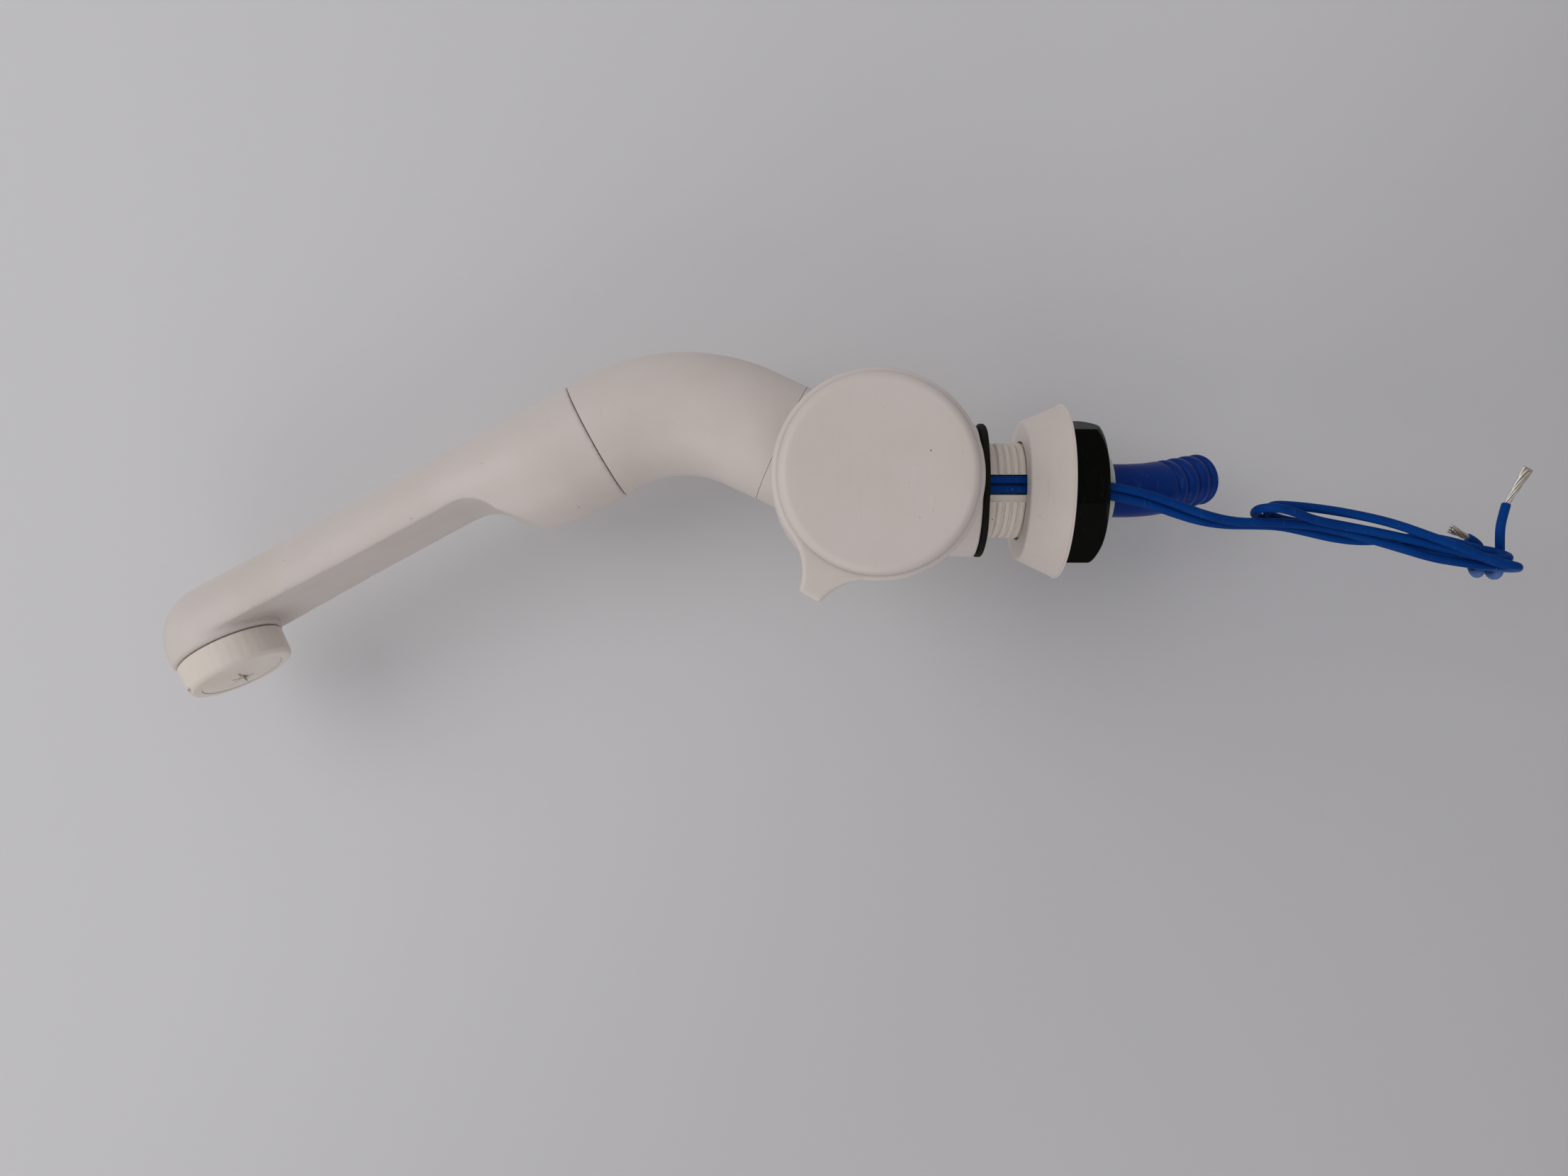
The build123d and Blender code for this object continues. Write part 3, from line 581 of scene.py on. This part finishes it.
ridge_line, ridge_corners = line_mesh([
    (ROOT_R - 0.4, 0.0), (ROOT_R, 0.0), (THREAD_R - 0.22, -0.22), (THREAD_R - 0.05, -0.42),
    (THREAD_R, -0.65), (THREAD_R, -1.15), (THREAD_R - 0.05, -1.38), (THREAD_R - 0.22, -1.58),
    (ROOT_R, -1.8), (ROOT_R - 0.4, -1.8)], closed=True)
ridge_line.faces.new(ridge_corners)
bmesh.ops.spin(
    ridge_line, geom=ridge_line.faces[:] + ridge_line.edges[:] + ridge_line.verts[:],
    cent=(0, 0, 0), axis=(0, 0, 1), dvec=(0, 0, -PITCH * MM / STEPS), angle=tau * TURNS,
    steps=STEPS * TURNS)
gaps = [edge for edge in ridge_line.edges if len(edge.link_faces) == 1]
if gaps:
    bmesh.ops.holes_fill(ridge_line, edges=gaps)
bmesh.ops.recalc_face_normals(ridge_line, faces=ridge_line.faces)
in_the_slot = Matrix.Rotation(radians(-90), 4, "Z")
start_in_slot = Matrix.Translation((0, 0, RIDGE_START * MM)) @ in_the_slot
ridge = piece("shank_ridge", ridge_line, shank_white, start_in_slot)

# %% Helpers that cut and join
def box_piece(name, low_mm, high_mm, material, frame_of=Matrix.Identity(4)):
    """A plain box between two corners of a frame, used only to cut or join with."""
    bm = bmesh.new()
    bmesh.ops.create_cube(bm, size=1)
    low, high = Vector(low_mm) * MM, Vector(high_mm) * MM
    place = Matrix.Translation((low + high) / 2) @ Matrix.Diagonal((*(high - low), 1))
    return piece(name, bm, material, frame_of @ place, smooth=False)


def apply_modifiers(made):
    """Gives an object the mesh that its modifiers make, and clears them."""
    evaluated = made.evaluated_get(bpy.context.evaluated_depsgraph_get())
    result = bpy.data.meshes.new_from_object(evaluated)
    made.modifiers.clear()
    made.data = result


def combined(base, steps):
    """Puts a base through its Booleans and removes the pieces that they used."""
    for operation, other in steps:
        cut = base.modifiers.new(operation, "BOOLEAN")
        cut.operation = operation
        cut.solver = "EXACT"
        cut.object = other
    apply_modifiers(base)
    for _, other in steps:
        bpy.data.objects.remove(other)


# %% Slot
SLOT_FLOOR_Y = -10.15

slot_cutter = box_piece("slot_cutter", (-3.9, -14.5, -32), (3.3, SLOT_FLOOR_Y, 9.5), shank_white)
ledge = box_piece("slot_ledge", (-4.0, -12.2, -12.0), (-2.1, -10.0, 0.5), shank_white)
combined(shank, [("UNION", ridge), ("DIFFERENCE", slot_cutter), ("UNION", ledge)])
sharpen(shank, 28)
stands_for(shank, "body", "shank_plastic", "threaded_shank")
print("shank", len(shank.data.polygons), "faces")

# %% [markdown]
# ## Base gasket
# A soft rubber ring that was cut from sheet and has lain folded, so its rim waves a little and
# sags on one side. A spun outline is divided into many steps, and each point moves by a slow wave
# that grows with its distance from the axis.

# %% Base gasket
GASKET_BORE_R, GASKET_R, GASKET_LOW, GASKET_HIGH = 13.7, 18.38, 0.12, 1.78
SAG, FRONT_THINNER = 0.65, 0.45

gasket_line, gasket_corners = line_mesh([
    (GASKET_BORE_R, GASKET_LOW), (18.1, GASKET_LOW), (GASKET_R, 0.5), (GASKET_R, 1.3),
    (17.95, GASKET_HIGH), (GASKET_BORE_R, GASKET_HIGH)], closed=True)
round_corners(gasket_line, [gasket_corners[1], gasket_corners[4]], 0.15, segments=2)
spin_round(gasket_line, steps=144)
for vert in gasket_line.verts:
    around = Vector((vert.co.x, vert.co.y))
    angle = around.angle_signed(Vector((1, 0)))
    reach = max(0.0, around.length / MM - GASKET_BORE_R) / 4.7
    wave = 0.10 * sin(3 * angle + 0.6) + 0.05 * sin(7 * angle + 2.0)
    wave -= SAG * max(0.0, cos(angle)) ** 2
    if vert.co.z > 0.9 * MM:
        wave -= FRONT_THINNER * max(0.0, cos(angle - radians(90))) ** 3
    vert.co.z += wave * reach * MM
    vert.co.xy *= 1 - 0.006 * reach * (1 + sin(2 * angle + 1.1) * 0.5 + sin(5 * angle) * 0.5)
gasket = piece("base_gasket_ring", gasket_line, rubber)
sharpen(gasket, 50)
stands_for(gasket, "body", "black_rubber", "base_gasket")

# %% [markdown]
# ## Locking nut
# The nut is a hexagon with a bore. Its corners are turned down towards the lower face and all its
# edges are broken. A six-sided circle is extruded, a Boolean keeps what lies inside a turned shape,
# and a Bevel modifier breaks the edges afterwards.

# %% Hexagon of the nut
NUT_TOP, NUT_BOTTOM, NUT_AF, NUT_TURN = -20.65, -31.1, 36.0, -43.5

hexagon = bmesh.new()
nut_heading = Matrix.Rotation(radians(NUT_TURN - 90), 4, "Z")
bmesh.ops.create_circle(
    hexagon, cap_ends=True, segments=6, radius=NUT_AF / 2 / cos(pi / 6) * MM,
    matrix=Matrix.Translation((0, 0, NUT_TOP * MM)) @ nut_heading)
drawn = bmesh.ops.extrude_face_region(hexagon, geom=hexagon.faces[:])
bmesh.ops.translate(
    hexagon, verts=[item for item in drawn["geom"] if isinstance(item, bmesh.types.BMVert)],
    vec=(0, 0, (NUT_BOTTOM - NUT_TOP) * MM))
bmesh.ops.recalc_face_normals(hexagon, faces=hexagon.faces)
nut = piece("locking_nut_hexagon", hexagon, black, smooth=False)

# %% Turned corners and broken edges of the nut
NUT_BORE_R, TURNED_R, BROKEN_EDGE = 13.05, 20.75, 0.28

turning_line, turning_corners = line_mesh([
    (NUT_BORE_R, NUT_TOP + 1), (20.2, NUT_TOP + 1), (20.2, NUT_TOP), (TURNED_R, NUT_TOP - 0.6),
    (TURNED_R, NUT_BOTTOM + 3.0), (19.9, NUT_BOTTOM + 1.5), (17.8, NUT_BOTTOM),
    (13.6, NUT_BOTTOM), (NUT_BORE_R, NUT_BOTTOM + 0.6)], closed=True)
round_corners(turning_line, [turning_corners[5]], 0.8, segments=4)
spin_round(turning_line, steps=96)
turning = piece("nut_turning", turning_line, black)
combined(nut, [("INTERSECT", turning)])
edges = nut.modifiers.new("broken edges", "BEVEL")
edges.width = BROKEN_EDGE * MM
edges.segments = 3
edges.limit_method = "ANGLE"
edges.angle_limit = radians(24)
edges.use_clamp_overlap = True
edges.harden_normals = True
nut.data.shade_smooth()
stands_for(nut, "nut", "black_plastic", "locking_nut")

# %% [markdown]
# ## Counter collar
# A hollow cone with a flat top, and ribs inside that show only from below. The outside is spun with
# soft edges and a short upright rim at the wide end, which catches the light. The ribs are plates
# joined on with a Boolean. The collar is loose on the thread, so it leans a little, and drops by
# what the lean would lift its top edge.

# %% Cone of the collar
COLLAR_TOP, COLLAR_BOTTOM, COLLAR_TOP_R, COLLAR_R = -9.75, -20.6, 18.95, 23.8
COLLAR_BORE_R, INNER_TUBE_R, INNER_TUBE_END, UNDER_TOP = 13.55, 15.6, -19.7, -12.35

collar_line, collar_corners = line_mesh([
    (COLLAR_BORE_R, COLLAR_TOP), (COLLAR_TOP_R, COLLAR_TOP), (23.5, -19.95), (COLLAR_R, -20.05),
    (COLLAR_R, COLLAR_BOTTOM), (22.2, COLLAR_BOTTOM), (21.9, -19.1), (18.2, UNDER_TOP),
    (INNER_TUBE_R, UNDER_TOP), (INNER_TUBE_R, INNER_TUBE_END), (COLLAR_BORE_R, INNER_TUBE_END)],
    closed=True)
round_corners(collar_line, [collar_corners[1]], 0.5, segments=4)
rim_corners = [vert for vert in collar_line.verts if vert.co.x > 23.7 * MM]
round_corners(collar_line, rim_corners, 0.12, segments=3)
spin_round(collar_line, steps=128)
collar = piece("counter_collar_cone", collar_line, collar_white)

# %% Ribs and lean of the collar
RIBS, RIB_SIZE, RIB_AT, RIB_TOP_R = 8, (6.9, 1.6, 7.6), (18.7, 0, -15.8), 18.6
COLLAR_TILT, LEAN_ARM = radians(1.4), 19

ribs = bmesh.new()
rib_shape = Matrix.Translation(Vector(RIB_AT) * MM) @ Matrix.Diagonal(
    (*[size * MM for size in RIB_SIZE], 1))
for count in range(RIBS):
    rib_turn = Matrix.Rotation(tau * (count + 0.5) / RIBS, 4, "Z")
    bmesh.ops.create_cube(ribs, size=1, matrix=rib_turn @ rib_shape)
# each rib's upper outer corner follows the cone inside
for vert in ribs.verts:
    around = Vector((vert.co.x, vert.co.y))
    if around.length > 20 * MM and vert.co.z > -16 * MM:
        around.length = RIB_TOP_R * MM
        vert.co.xy = around
rib_plates = piece("collar_ribs", ribs, collar_white, smooth=False)
combined(collar, [("UNION", rib_plates)])
lean = Matrix.Rotation(COLLAR_TILT, 4, "Y")
pivot = Matrix.Translation((0, 0, COLLAR_TOP * MM))
dropped = Matrix.Translation((0, 0, -LEAN_ARM * sin(COLLAR_TILT) * MM))
collar.data.transform(dropped @ pivot @ lean @ pivot.inverted())
collar.data.shade_smooth()
sharpen(collar, 30)
stands_for(collar, "collar", "collar_plastic", "counter_collar")

# %% [markdown]
# ## Bush and hose tail
# The bush is a short turned ring. The tail is one smooth tube with soft barbs. It is drawn as a
# row of rings: a circle is extruded along the centreline, turned a little at each step in the
# bend, and scaled at each barb. The mouth is made by carrying the skin back into the bore.

# %% Bush
BUSH_BORE_R, BUSH_R, BUSH_PLUG_R = 7.37, 10.1, 8.95
BUSH_BOTTOM, BUSH_SHOULDER, BUSH_TOP = -34.7, -31.06, -22.0

bush_line, bush_corners = line_mesh([
    (BUSH_BORE_R, BUSH_BOTTOM), (9.4, BUSH_BOTTOM), (BUSH_R, -34.0), (BUSH_R, BUSH_SHOULDER),
    (BUSH_PLUG_R, BUSH_SHOULDER), (BUSH_PLUG_R, BUSH_TOP), (BUSH_BORE_R, BUSH_TOP)], closed=True)
round_corners(bush_line, [bush_corners[1], bush_corners[2]], 0.3, segments=3)
spin_round(bush_line, steps=96)
bush = piece("tail_bush_ring", bush_line, bush_grey)
sharpen(bush)
stands_for(bush, "body", "bush_plastic", "tail_bush")

# %% Centreline of the tail
TAIL_R, TAIL_BORE_R, TAIL_BEND_Z, TAIL_BEND_R = 7.3, 4.6, -38.7, 20.0
TAIL_LEAN, TAIL_SWING = radians(32), radians(20)
side = Vector((sin(TAIL_SWING), cos(TAIL_SWING), 0))


def tail_centre(along_mm):
    """Centre and heading of the tail, a distance below the start of its bend."""
    turn = min(max(along_mm / TAIL_BEND_R, 0.0), TAIL_LEAN)
    centre = side * (TAIL_BEND_R * (1 - cos(turn)))
    centre += Vector((0, 0, TAIL_BEND_Z - TAIL_BEND_R * sin(turn)))
    heading = side * sin(turn) + Vector((0, 0, -cos(turn)))
    spare = along_mm - turn * TAIL_BEND_R
    return centre + heading * spare, heading


def ring_at(along_mm):
    """The place of a ring of the tail, with its own X axis kept level."""
    centre, heading = tail_centre(along_mm)
    across = Vector((-cos(TAIL_SWING), sin(TAIL_SWING), 0))
    return axes(centre, across, heading)


# %% Outline of the tail and its barbs
BEND_STEPS, FIRST_BARB, BARB_PITCH = 8, 1.5, 4.6
NECK_IN = [(0.3, 7.28), (0.7, 7.1), (1.0, 6.7), (1.2, 6.3), (1.5, 6.2)]
BARB = [(0.2, 6.35), (0.45, 6.8), (0.85, 7.12), (1.4, 7.25), (2.1, 7.22), (2.9, 7.05), (3.6, 6.78),
        (4.2, 6.4), (4.55, 6.2)]
LAST_LIP = [(15.5, 6.4), (15.75, 6.8), (16.1, 7.1), (16.5, 7.15), (16.95, 7.0), (17.3, 6.7),
            (17.52, 6.3), (17.6, 5.9)]

bend_end = TAIL_BEND_R * TAIL_LEAN
outline = [(-17.9, TAIL_R), (-10, TAIL_R), (0, TAIL_R)]
outline += [(bend_end * step / BEND_STEPS, TAIL_R) for step in range(1, BEND_STEPS + 1)]
barbs = list(NECK_IN)
for count in range(3):
    start = FIRST_BARB + BARB_PITCH * count
    barbs += [(start + along, radius) for along, radius in BARB]
outline += [(bend_end + along, radius) for along, radius in barbs + LAST_LIP]
bore = [(bend_end + 17.5, 4.85)]
bore += [(bend_end + along, TAIL_BORE_R) for along in (17.1, 9, 0)]
bore += [(bend_end * step / BEND_STEPS, TAIL_BORE_R) for step in range(BEND_STEPS - 1, -1, -1)]
bore += [(-16.0, TAIL_BORE_R)]
print("the tail has", len(outline) + len(bore), "rings")

# %% Skin of the tail
tail = bmesh.new()
first_along, first_radius = outline[0]
bmesh.ops.create_circle(tail, cap_ends=True, segments=72, radius=first_radius * MM,
                        matrix=ring_at(first_along))
loop = tail.edges[:]
before = ring_at(first_along) @ Matrix.Diagonal((first_radius, first_radius, 1, 1))
for along, radius in outline[1:] + bore:
    grown = bmesh.ops.extrude_edge_only(tail, edges=loop)["geom"]
    after = ring_at(along) @ Matrix.Diagonal((radius, radius, 1, 1))
    ring = [item for item in grown if isinstance(item, bmesh.types.BMVert)]
    bmesh.ops.transform(tail, matrix=after @ before.inverted(), verts=ring)
    loop = [item for item in grown if isinstance(item, bmesh.types.BMEdge)
            and all(vert in ring for vert in item.verts)]
    before = after
bmesh.ops.holes_fill(tail, edges=loop)
bmesh.ops.recalc_face_normals(tail, faces=tail.faces)
hose_tail = piece("hose_tail_tube", tail, tail_blue)
hose_tail.data.materials.append(lip_sheen_blue)
# the cut mouth gets the second finish, whose paler blue is a painted highlight
mouth_centre, mouth_heading = tail_centre(bend_end + 17.2)
for face in hose_tail.data.polygons:
    if (face.center / MM - mouth_centre).dot(mouth_heading) > 0:
        face.material_index = 1
sharpen(hose_tail, 60)
stands_for(hose_tail, "hose_tail", "blue_plastic", "hose_tail")

# %% [markdown]
# ## Outlet cap and its insert
# A short ivory ring screws under the end of the spout. It has faint flutes for the fingers and two
# notches for a key. It holds a slightly domed disc with a shallow star and a hole, which break the
# water into a soft stream. Both are spun, and Booleans cut the notches, the star and the hole.

# %% Outlet cap
CAP_TOP, CAP_LIP, CAP_R, CAP_BORE_R, CAP_MOUTH_R = 2.3, 9.3, 14.2, 12.5, 10.85
FLUTES, FLUTE_DEPTH, NOTCH_TURN = 36, 0.004, radians(-38)

cap_line, cap_corners = line_mesh([
    (CAP_BORE_R, CAP_TOP), (13.9, CAP_TOP), (CAP_R, 2.6), (14.05, CAP_LIP), (13.0, 10.3),
    (CAP_MOUTH_R, 10.35), (CAP_MOUTH_R, CAP_LIP), (CAP_BORE_R, CAP_LIP)], closed=True)
round_corners(cap_line, [cap_corners[3], cap_corners[4]], 0.4, segments=3)
spin_round(cap_line, steps=144)
for vert in cap_line.verts:
    around = Vector((vert.co.x, vert.co.y))
    if around.length > 13.6 * MM:
        angle = around.angle_signed(Vector((1, 0)))
        vert.co.xy *= 1 - FLUTE_DEPTH * abs(sin(FLUTES / 2 * angle))
outlet_cap = piece("outlet_cap_ring", cap_line, ivory, OUTLET)
half_turn, to_notch = Matrix.Rotation(pi, 4, "Z"), Matrix.Rotation(NOTCH_TURN, 4, "Z")
key_notches = [
    ("DIFFERENCE", box_piece("key_notch", (13.2, -1.6, 8.7), (15, 1.6, 11), ivory, OUTLET @ turned))
    for turned in (to_notch, to_notch @ half_turn)]
combined(outlet_cap, key_notches)
sharpen(outlet_cap, 30)
stands_for(outlet_cap, "aerator_cap", "ivory_plastic", "aerator_cap")

# %% Outlet insert
DISC_R, FLANGE_R, FLANGE_TOP, FLANGE_BOTTOM = 10.72, 12.3, 9.22, 7.4
HOLE_R, HOLE_FLOOR, STAR_R, STAR_HALF_WIDTH, STAR_FLOOR = 1.2, 9.9, 3.0, 0.28, 10.1
ABOVE_DISC = 12

insert_line = line_mesh([
    (0, 10.95), (2.3, 10.9), (6.5, 10.65), (10.2, 10.3), (DISC_R, 10.2), (DISC_R, FLANGE_TOP),
    (FLANGE_R, FLANGE_TOP), (FLANGE_R, FLANGE_BOTTOM), (0, FLANGE_BOTTOM)])[0]
spin_round(insert_line, steps=96)
insert = piece("outlet_insert_disc", insert_line, ivory, OUTLET)
hole_line = line_mesh(
    [(0, HOLE_FLOOR), (HOLE_R, HOLE_FLOOR), (HOLE_R, ABOVE_DISC), (0, ABOVE_DISC)])[0]
spin_round(hole_line, steps=24)
openings = [("DIFFERENCE", piece("centre_hole", hole_line, ivory, OUTLET))]
for third in range(3):
    star_turn = Matrix.Rotation(radians(60 * third + 15), 4, "Z")
    openings.append(("DIFFERENCE", box_piece(
        "star_slot", (-STAR_R, -STAR_HALF_WIDTH, STAR_FLOOR), (STAR_R, STAR_HALF_WIDTH, ABOVE_DISC),
        ivory, OUTLET @ star_turn)))
combined(insert, openings)
sharpen(insert, 30)
stands_for(insert, "aerator_core", "ivory_plastic", "aerator_insert")

# %% [markdown]
# ## Housing, arm and lever
# These three are engineered solids with sharp inner corners. A moulding never has those, so each is
# copied, its doubles are merged, a voxel remesh gives it an even skin, and a few rounds of smoothing
# soften its edges by a fraction of a millimetre. That also opens the two swivel seams, so the skin
# beside them is moved back until they are narrow again. The neck's rim has to stay crisp there, so
# a thin spun ring lies on it.

# %% A helper for softened copies
SEAM_REACH = 1.6


def softened(name, node, voxel_mm, rounds, material, seam=None):
    """A merged copy of a solid's mesh with an even skin and soft edges.

    A seam is a point in millimetres, a direction and a distance. Skin past the point moves that
    far in that direction, and the move fades in over 1 mm from SEAM_REACH before the point."""
    bm = bmesh.new()
    bm.from_mesh(nodes[node].data)
    bmesh.ops.remove_doubles(bm, verts=bm.verts, dist=2 * SAME_POINT)
    made = piece(name, bm, material)
    skin_step = made.modifiers.new("even skin", "REMESH")
    skin_step.mode = "VOXEL"
    skin_step.voxel_size = voxel_mm * MM
    smooth_step = made.modifiers.new("soft edges", "SMOOTH")
    smooth_step.factor = 0.5
    smooth_step.iterations = rounds
    apply_modifiers(made)
    mesh = made.data
    mesh.materials.clear()
    mesh.materials.append(material)
    mesh.shade_smooth()
    if seam is not None:
        point, direction, distance = seam
        for vert in mesh.vertices:
            above = (vert.co / MM - point).dot(direction)
            if above > -SEAM_REACH:
                vert.co += direction * distance * MM * min(1.0, above + SEAM_REACH)
    print(name, len(mesh.polygons), "faces after the remesh")
    return made


# %% Housing
housing = softened("valve_housing_moulding", "valve_housing", voxel_mm=0.55, rounds=6,
                   material=white, seam=(neck_seam, neck_dir, 0.22))
stands_for(housing, "body", "white_plastic", "valve_housing")

# %% Rim of the neck
NECK_BORE_R, NECK_RIM_R, NECK_RIM_LOW, NECK_RIM_HIGH = 15.4, 16.74, -1.6, 0.08

neck_line, neck_corners = line_mesh([
    (NECK_BORE_R, NECK_RIM_LOW), (NECK_RIM_R, NECK_RIM_LOW), (NECK_RIM_R, NECK_RIM_HIGH),
    (NECK_BORE_R, NECK_RIM_HIGH)], closed=True)
round_corners(neck_line, [neck_corners[2]], 0.12, segments=2)
spin_round(neck_line, steps=128)
neck_rim = piece("neck_rim_ring", neck_line, white, NECK_RIM)
sharpen(neck_rim)
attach(neck_rim, "body")

# %% Arm and lever
arm = softened("spout_arm_moulding", "spout_arm", voxel_mm=0.55, rounds=3,
               material=white, seam=(arm_seam, -arm_dir, 0.10))
stands_for(arm, "arm", "white_plastic", "spout_arm")
lever = softened("knob_lever_moulding", "knob_lever", voxel_mm=0.52, rounds=4, material=white)
stands_for(lever, "knob", "white_plastic", "knob_lever")

# %% [markdown]
# ## Bare ends of the wires
# The last stretch of each wire is stripped to its tinned strands, which were twisted by hand and
# press flat towards the end. One strand is a small circle carried along a screw line by a spin that
# also climbs. Six of them lie round a seventh, and the whole bundle then widens and flattens.

# %% Twisted strands
STRAND_R, STRAND_RING, STRANDS_ROUND, STRAND_STEPS = 0.27, 0.54, 6, 28
INSIDE_INSULATION = 0.6


def bare_strands(name, start_mm, end_mm, twist, widen, flat_across):
    """A twisted bundle of strands from the wire's end to its tip."""
    start, end = Vector(start_mm), Vector(end_mm)
    length = (end - start).length + INSIDE_INSULATION
    bundle = bmesh.new()
    for count in range(STRANDS_ROUND + 1):
        from_axis = 0.0 if count == 0 else STRAND_RING
        shorter = 0.25 * (count % 3)
        seat = Matrix.Rotation(tau * count / STRANDS_ROUND, 4, "Z")
        seat = seat @ Matrix.Translation((from_axis * MM, 0, 0))
        ring = bmesh.ops.create_circle(
            bundle, cap_ends=True, segments=8, radius=STRAND_R * MM, matrix=seat)["verts"]
        skin_of_ring = {edge for vert in ring for edge in vert.link_edges}
        cap = {face for vert in ring for face in vert.link_faces}
        bmesh.ops.spin(
            bundle, geom=ring + list(skin_of_ring) + list(cap), cent=(0, 0, 0), axis=(0, 0, 1),
            dvec=(0, 0, (length - shorter) * MM / STRAND_STEPS), angle=twist,
            steps=STRAND_STEPS)
    for vert in bundle.verts:
        part_way = vert.co.z / (length * MM)
        vert.co.x *= 1 + widen * part_way ** 2
        vert.co.y *= 1 - 0.25 * part_way
    bmesh.ops.recalc_face_normals(bundle, faces=bundle.faces)
    heading = (end - start).normalized()
    across = Vector(flat_across) - heading * heading.dot(Vector(flat_across))
    place_matrix = axes(start - heading * INSIDE_INSULATION, across, heading)
    strands = piece(name, bundle, tinned, place_matrix)
    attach(strands, "body")
    return strands


strands_a = bare_strands(
    "bare_strands_a", start_mm=wire_a_points[-1], end_mm=(5.2, -10.4, -144.2),
    twist=3.6, widen=0.9, flat_across=(0.45, 0, 0.9))
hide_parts("bare_tip_a")
strands_b = bare_strands(
    "bare_strands_b", start_mm=wire_b_points[-1], end_mm=(-10.6, -6.5, -125.3),
    twist=2.6, widen=0.8, flat_across=(0.9, 0, -0.4))
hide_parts("bare_tip_b")

# %% [markdown]
# ## Wires ride on the body
# A pump's switch wires are about a quarter of a metre long. Both show from end to end here, so the
# length that is printed is the length along the line.

# %% Length of the wires
def line_length(wire):
    """Length in metres of the smooth line that a wire follows."""
    bare_line = wire.data.copy()
    bare_line.bevel_depth = 0
    carrier = bpy.data.objects.new("line", bare_line)
    along = bpy.data.meshes.new_from_object(carrier).vertices
    bpy.data.objects.remove(carrier)
    return sum((b.co - a.co).length for a, b in zip(along[:], along[1:]))


for wire, solids in (
        (wire_a, ("wire_a", "wire_end_a")), (wire_b, ("wire_b", "wire_end_b", "wire_hank"))):
    wire.data.materials.append(wire_blue)
    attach(wire, "body")
    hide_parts(*solids)
    print(wire.name, "length", round(line_length(wire), 4))

# %% [markdown]
# ## Stage
# A pale backdrop stands just behind the tap and takes its soft shadow, and a pale floor lies below
# the wires. Both are clear from behind, so that the tap can be seen from its back and from below.
# The backdrop also lets the lamps' light through, so that the back isn't dark.

# %% A helper for the stage
def stage_plane(name, half_width, place_matrix, lets_light_in):
    """A square of pale paper, clear from behind. One that lets light in casts no shadow either."""
    bm = bmesh.new()
    bmesh.ops.create_grid(bm, x_segments=1, y_segments=1, size=half_width, matrix=place_matrix)
    mesh = bpy.data.meshes.new(name)
    bm.to_mesh(mesh)
    bm.free()
    paper, tree, shader = new_material(name + "_paper")
    shader.inputs["Roughness"].default_value = 0.9
    shader.inputs["Specular IOR Level"].default_value = 0.1
    cloud = noise(tree, scale=3.0, detail=2.0)
    tint = mix_colour(tree, cloud, (0.57, 0.56, 0.565), (0.605, 0.595, 0.60))
    # painted shade: the paper is darker towards -X and -Z, standing for the fall of the light
    split = tree.nodes.new("ShaderNodeSeparateXYZ")
    tree.links.new(tree.nodes.new("ShaderNodeTexCoord").outputs["Object"], split.inputs[0])
    across = math_node(tree, "ADD", split.outputs["X"], split.outputs["Z"])
    shade = map_range(tree, across, from_min=-0.18, from_max=0.12, smooth=True)
    tint = mix_colour(tree, shade, (0.515, 0.505, 0.515), tint)
    tree.links.new(tint, shader.inputs["Base Color"])
    clear = tree.nodes.new("ShaderNodeNewGeometry").outputs["Backfacing"]
    if lets_light_in:
        rays = tree.nodes.new("ShaderNodeLightPath")
        clear = math_node(tree, "MAXIMUM", clear, rays.outputs["Is Shadow Ray"])
    transparent = tree.nodes.new("ShaderNodeBsdfTransparent")
    mixer = tree.nodes.new("ShaderNodeMixShader")
    tree.links.new(clear, mixer.inputs[0])
    tree.links.new(shader.outputs[0], mixer.inputs[1])
    tree.links.new(transparent.outputs[0], mixer.inputs[2])
    tree.links.new(mixer.outputs[0], tree.nodes["Material Output"].inputs["Surface"])
    mesh.materials.append(paper)
    add_object(name, mesh)
    print(name, 2 * half_width, "m wide")


# %% Backdrop and floor
BACKDROP_Y, FLOOR_Z, HALF_WIDTH = 36.0, -185.0, 1.2

facing_front = Matrix.Rotation(radians(90), 4, "X")
wall_centre = Vector((0, BACKDROP_Y * MM, FLOOR_Z * MM + HALF_WIDTH))
stage_plane("backdrop", HALF_WIDTH, Matrix.Translation(wall_centre) @ facing_front,
            lets_light_in=True)
stage_plane("floor", HALF_WIDTH, Matrix.Translation((0, 0, FLOOR_Z * MM)), lets_light_in=False)

# %% [markdown]
# ## Light
# The light is that of a pale room: a bright world all round, a large soft lamp in front and above,
# a weaker one from the spout's side, and one behind for the views of the back.

# %% Lamps and surroundings
def area_lamp(name, at, size, watts, aim=(-0.01, -0.02, 0.06)):
    """A square soft lamp that faces the tap."""
    data = bpy.data.lights.new(name, "AREA")
    data.size = size
    data.energy = watts
    lamp = add_object(name, data)
    lamp.location = at
    lamp.rotation_euler = (Vector(aim) - Vector(at)).to_track_quat("-Z", "Y").to_euler()
    print(f"{name} lamp: {watts} W, {size} m across")


area_lamp("key", at=(0.30, -0.95, 0.95), size=0.9, watts=5.0)
area_lamp("fill", at=(-0.95, -0.5, 0.15), size=0.8, watts=2.2)
area_lamp("behind", at=(0.3, 1.2, 0.6), size=1.0, watts=3.0)
world = bpy.data.worlds.new("soft room")
world.use_nodes = True
background = world.node_tree.nodes["Background"]
background.inputs["Color"].default_value = (0.97, 0.975, 1.0, 1)
background.inputs["Strength"].default_value = 0.62
bpy.context.scene.world = world
bpy.context.scene.view_settings.view_transform = "Standard"
